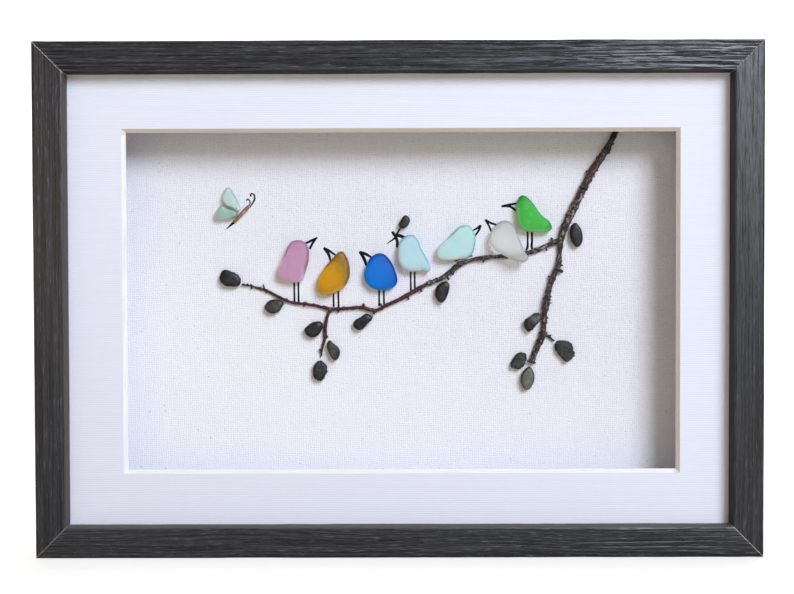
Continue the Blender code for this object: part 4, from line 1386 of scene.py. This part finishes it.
@dataclass
class Drawing:
    """The painted lines: beaks, legs, feelers and a sprig, as flat films on the canvas."""

    layout: Layout
    film: float = 0.05 * MM
    spread: float = 1.3

    def strokes(self) -> dict[str, list[Stroke]]:
        """Return the strokes of each painted thing."""
        return {
            "ink_pink": [
                Stroke(((-41.0, 31.2), (-43.6, 29.7), (-47.2, 28.0)), (0.45, 1.0, 0.8)),
                Stroke(((-41.0, 31.2), (-43.0, 28.8), (-45.0, 25.2)), (0.5, 0.9, 0.9)),
                *self.legs((-52.8, 10.0, -1.2), (-50.7, 10.0, -1.6)),
            ],
            "ink_amber": [
                Stroke(((-37.9, 25.7), (-35.4, 24.5), (-31.8, 22.0)), (1.0, 1.0, 0.7)),
                Stroke(((-37.9, 25.7), (-35.4, 22.6), (-34.3, 18.8)), (0.7, 1.2, 0.7)),
                *self.legs((-33.0, 4.5, -4.0), (-30.5, 4.8, -4.2)),
            ],
            "ink_blue": [
                Stroke(((-19.8, 23.8), (-17.0, 22.8), (-13.4, 20.8)), (0.9, 1.2, 0.8)),
                Stroke(((-19.8, 23.8), (-17.8, 21.0), (-16.2, 16.8)), (0.8, 1.3, 1.0)),
                *self.legs((-9.9, 6.0, -3.6), (-7.5, 6.0, -2.9)),
            ],
            "ink_pale_blue": self.sprig() + self.legs((6.1, 15.0, 3.4), (8.1, 15.0, 4.3)),
            "ink_aqua": [
                Stroke(((41.6, 37.0), (39.8, 35.6), (37.2, 34.1)), (0.9, 0.9, 0.5)),
                Stroke(((41.6, 37.0), (40.6, 34.6), (38.6, 31.6)), (0.9, 0.8, 0.7)),
                Stroke(((28.2, 18.9), (32.6, 20.6), (37.4, 21.6)), (0.3, 0.6, 0.5)),
            ],
            "ink_white": [
                Stroke(((43.8, 39.8), (46.2, 38.3), (49.4, 37.2)), (0.9, 0.9, 0.8)),
                Stroke(((43.8, 39.8), (45.4, 37.2), (46.9, 33.8)), (0.8, 0.8, 0.7)),
            ],
            "ink_green": [
                Stroke(((52.0, 46.5), (55.6, 47.2), (59.6, 48.0)), (0.8, 1.0, 0.7)),
                Stroke(((52.0, 46.5), (56.3, 46.3), (59.5, 44.2)), (0.8, 0.9, 0.9)),
                Stroke(((65.1, 35.0), (65.2, 29.0), (65.1, 25.9), (64.4, 24.2)), (0.7, 0.7, 0.9, 0.8)),
                Stroke(((67.3, 35.0), (67.4, 29.0), (67.3, 25.7), (68.6, 23.6)), (0.8, 0.9, 0.9, 0.8)),
            ],
            "ink_butterfly": [
                Stroke(((-82.4, 39.6), (-84.8, 37.4), (-87.2, 35.2)), (1.3, 0.8, 0.2)),
                Stroke(((-75.0, 46.4), (-73.6, 48.6), (-72.7, 50.3), (-72.6, 51.7), (-73.4, 53.1),
                        (-74.5, 53.0), (-74.6, 51.8)), (0.5, 0.6, 0.7, 0.6, 0.6, 0.6, 0.7)),
                Stroke(((-75.8, 46.8), (-74.9, 48.6), (-75.3, 49.9), (-76.2, 50.5), (-76.7, 49.7)),
                       (0.4, 0.5, 0.5, 0.5, 0.6)),
            ],
        }

    def legs(self, *feet: tuple[float, float, float]) -> list[Stroke]:
        """Return upright lines, each given by its place across, its top and its foot."""
        return [Stroke(((x, top), (x, (top + foot) / 2), (x + 0.1, foot)), (0.75, 0.7, 0.8))
                for x, top, foot in feet]

    def sprig(self) -> list[Stroke]:
        """Return the sprig that the pale blue bird holds, and its beak."""
        return [
            Stroke(((1.2, 36.0), (-0.2, 33.9), (-1.3, 31.6)), (0.5, 0.7, 1.2)),
            Stroke(((-1.9, 31.7), (0.2, 31.9), (3.2, 30.8)), (1.4, 1.3, 1.3)),
            Stroke(((-3.2, 34.0), (-2.6, 33.0), (-1.6, 31.7)), (1.0, 1.1, 1.2)),
            Stroke(((-1.2, 31.2), (-3.4, 29.5), (-6.1, 27.8)), (1.1, 0.6, 0.25)),
            Stroke(((-1.4, 31.2), (-0.7, 29.2), (-0.7, 27.2), (-0.9, 25.8)), (1.1, 1.2, 1.1, 0.8)),
        ]

    def build(self) -> None:
        """Build and dress each painted thing."""
        finish = Ink().material()
        for name, strokes in self.strokes().items():
            bm = bmesh.new()
            curve = bpy.data.curves.new(name, "CURVE")
            curve.dimensions = "3D"
            curve.bevel_depth = 0.5 * self.spread * MM
            curve.bevel_resolution = 2
            curve.resolution_u = 6
            curve.use_fill_caps = True
            for stroke in strokes:
                self.add_line(curve, stroke)
            self.take_mesh(bm, curve)
            squeeze = self.film / MM / self.spread
            bmesh.ops.scale(bm, vec=(1, squeeze, 1), verts=bm.verts[:])
            bmesh.ops.translate(bm, vec=(0, self.layout.canvas_y, 0), verts=bm.verts[:])
            bmesh.ops.remove_doubles(bm, verts=bm.verts[:], dist=0.001 * MM)
            bmesh.ops.recalc_face_normals(bm, faces=bm.faces[:])
            finished(name, bm, finish, sharp=80)

    def add_line(self, curve: bpy.types.Curve, stroke: Stroke) -> None:
        """Add one stroke to the curve as a smooth line about y = 0."""
        line = curve.splines.new("BEZIER")
        line.bezier_points.add(len(stroke.points) - 1)
        for knot, (across, up), width in zip(line.bezier_points, stroke.points, stroke.widths):
            place = self.layout.place(across, up)
            knot.co = (place.x, 0, place.z)
            knot.radius = width
            knot.handle_left_type = "AUTO"
            knot.handle_right_type = "AUTO"

    def take_mesh(self, bm: bmesh.types.BMesh, curve: bpy.types.Curve) -> None:
        """Load the curve's tube into the bmesh and remove the curve."""
        obj = bpy.data.objects.new("stroke", curve)
        bpy.context.scene.collection.objects.link(obj)
        evaluated = obj.evaluated_get(bpy.context.evaluated_depsgraph_get())
        bm.from_mesh(evaluated.to_mesh())
        evaluated.to_mesh_clear()
        bpy.data.objects.remove(obj, do_unlink=True)


# The studio

@dataclass(frozen=True)
class Lamp:
    """A round soft light: the way to it, its distance in metres, how wide it looks, its power."""

    toward: tuple[float, float, float]
    distance: float
    spread: float
    power: float
    colour: Colour
    gloss_only: bool = False

    def build(self, name: str, middle: Vector) -> None:
        """Add the light, facing the middle.

        Args:
            name: the light's name.
            middle: the object's middle.
        """
        lamp = bpy.data.lights.new(name, "AREA")
        lamp.shape = "DISK"
        lamp.size = 2 * self.distance * tan(radians(self.spread / 2))
        lamp.energy = self.power
        lamp.color = self.colour
        light = bpy.data.objects.new(name, lamp)
        bpy.context.scene.collection.objects.link(light)
        direction = Vector(self.toward).normalized()
        light.location = middle + direction * self.distance
        light.rotation_euler = direction.to_track_quat("Z", "Y").to_euler()
        light.visible_camera = False
        light.visible_diffuse = not self.gloss_only


@dataclass
class Studio:
    """A pale floor that sweeps up behind, one soft window light, warm fill and the camera."""

    low: Vector
    high: Vector
    fill_colour: Colour = (1.0, 0.81, 0.58)
    fill_strength: float = 0.185
    backdrop: Colour = (1.0, 1.0, 1.0)
    floor_glow: Colour = (0.32, 0.27, 0.195)
    camera_place: tuple[float, float, float] = (0.58 * MM, -519.2 * MM, 135.05 * MM)
    camera_dip: float = 1.10
    camera_turn: float = 0.155
    camera_roll: float = -0.16
    camera_lens: float = 47.47
    sweep_radius: float = 0.5
    floor_front: float = -2.5
    floor_back: float = 1.2
    floor_half_width: float = 3.0
    floor_rise: float = 2.6
    floor_light: Colour = (0.64, 0.64, 0.64)
    floor_dark: Colour = (0.60, 0.60, 0.60)

    def lamps(self) -> dict[str, Lamp]:
        """Return the lamps by name."""
        return {
            "window_light": Lamp((0.565, -1.0, 0.70), 3.0, 30, 92, (0.78, 0.85, 1.0)),
            "sheen_light": Lamp((0.40, -1.0, 0.24), 1.65, 24, 5.5, (0.9, 0.95, 1.0), gloss_only=True),
            "front_light": Lamp((-0.35, -1.0, -0.12), 2.6, 50, 15.0, self.fill_colour),
            "back_light": Lamp((0.6, 0.6, 0.7), 1.7, 50, 12.5, self.backdrop),
        }

    def build(self) -> None:
        """Build the floor, the lights and the camera."""
        self.add_floor()
        for name, lamp in self.lamps().items():
            lamp.build(name, (self.low + self.high) / 2)
        self.add_fill()
        self.add_camera()

    def add_floor(self) -> None:
        """Build the floor with its curved rise behind the frame."""
        bm = bmesh.new()
        line = ((self.floor_front, 0), (self.floor_back, 0), (self.floor_back, self.floor_rise))
        verts = [bm.verts.new((-self.floor_half_width, y, z)) for y, z in line]
        edges = [bm.edges.new(pair) for pair in zip(verts, verts[1:])]
        bmesh.ops.bevel(bm, geom=[verts[1]], offset=self.sweep_radius, segments=16, profile=0.5,
                        affect="VERTICES", material=-1)
        made = bmesh.ops.extrude_edge_only(bm, edges=bm.edges[:])["geom"]
        moved = [item for item in made if isinstance(item, bmesh.types.BMVert)]
        bmesh.ops.translate(bm, vec=(2 * self.floor_half_width, 0, 0), verts=moved)
        mesh = bpy.data.meshes.new("floor")
        bm.to_mesh(mesh)
        bm.free()
        mesh.shade_smooth()
        graph = Graph("floor")
        where = graph.place()
        mottle = graph.noise(where, 60)
        seen = graph.node("ShaderNodeLightPath", output="Is Camera Ray")
        mesh.materials.append(graph.surface({
            "Base Color": graph.mix(mottle, self.floor_light, self.floor_dark),
            "Roughness": 0.9,
            "Specular IOR Level": 0.1,
            "Emission Color": graph.mix(seen, self.floor_glow, self.backdrop),
            "Emission Strength": 0.85,
        }))
        floor = bpy.data.objects.new("floor", mesh)
        bpy.context.scene.collection.objects.link(floor)
        floor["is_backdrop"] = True

    def add_fill(self) -> None:
        """Set the even warm light of the room."""
        graph = Graph("room", bpy.data.worlds.new("room"))
        seen = graph.node("ShaderNodeLightPath", output="Is Camera Ray")
        fill = tuple(part * self.fill_strength for part in self.fill_colour)
        colour = graph.mix(seen, fill, self.backdrop)
        light = graph.node("ShaderNodeBackground", feeds={"Color": colour, "Strength": 1.0})
        graph.node("ShaderNodeOutputWorld", feeds={"Surface": light})
        bpy.context.scene.world = graph.material

    def add_camera(self) -> None:
        """Set the camera at the photograph's place."""
        data = bpy.data.cameras.new("camera")
        data.lens = self.camera_lens
        data.clip_start = 0.01
        camera = bpy.data.objects.new("camera", data)
        bpy.context.scene.collection.objects.link(camera)
        turn = Matrix.Rotation(radians(self.camera_turn), 4, "Z")
        dip = Matrix.Rotation(radians(90 - self.camera_dip), 4, "X")
        roll = Matrix.Rotation(radians(self.camera_roll), 4, "Z")
        camera.matrix_world = Matrix.Translation(self.camera_place) @ turn @ dip @ roll
        bpy.context.scene.camera = camera


def main() -> None:
    """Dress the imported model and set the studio."""
    logging.basicConfig(level=logging.INFO, format="%(name)s %(message)s")
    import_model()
    low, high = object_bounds()
    bpy.context.scene.view_settings.view_transform = "Standard"
    layout = Layout(middle_z=(low[2] + high[2]) / 2, canvas_y=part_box("canvas_panel")[0].y)
    Studio(Vector(low), Vector(high)).build()
    Frame(Vector(low), Vector(high)).build()
    Mat().build()
    Box().build()
    Twig(layout).build()
    Flock(layout).build()
    Leaves(layout).build()
    Butterfly(layout).build()
    Drawing(layout).build()


if __name__ == "__main__":
    main()
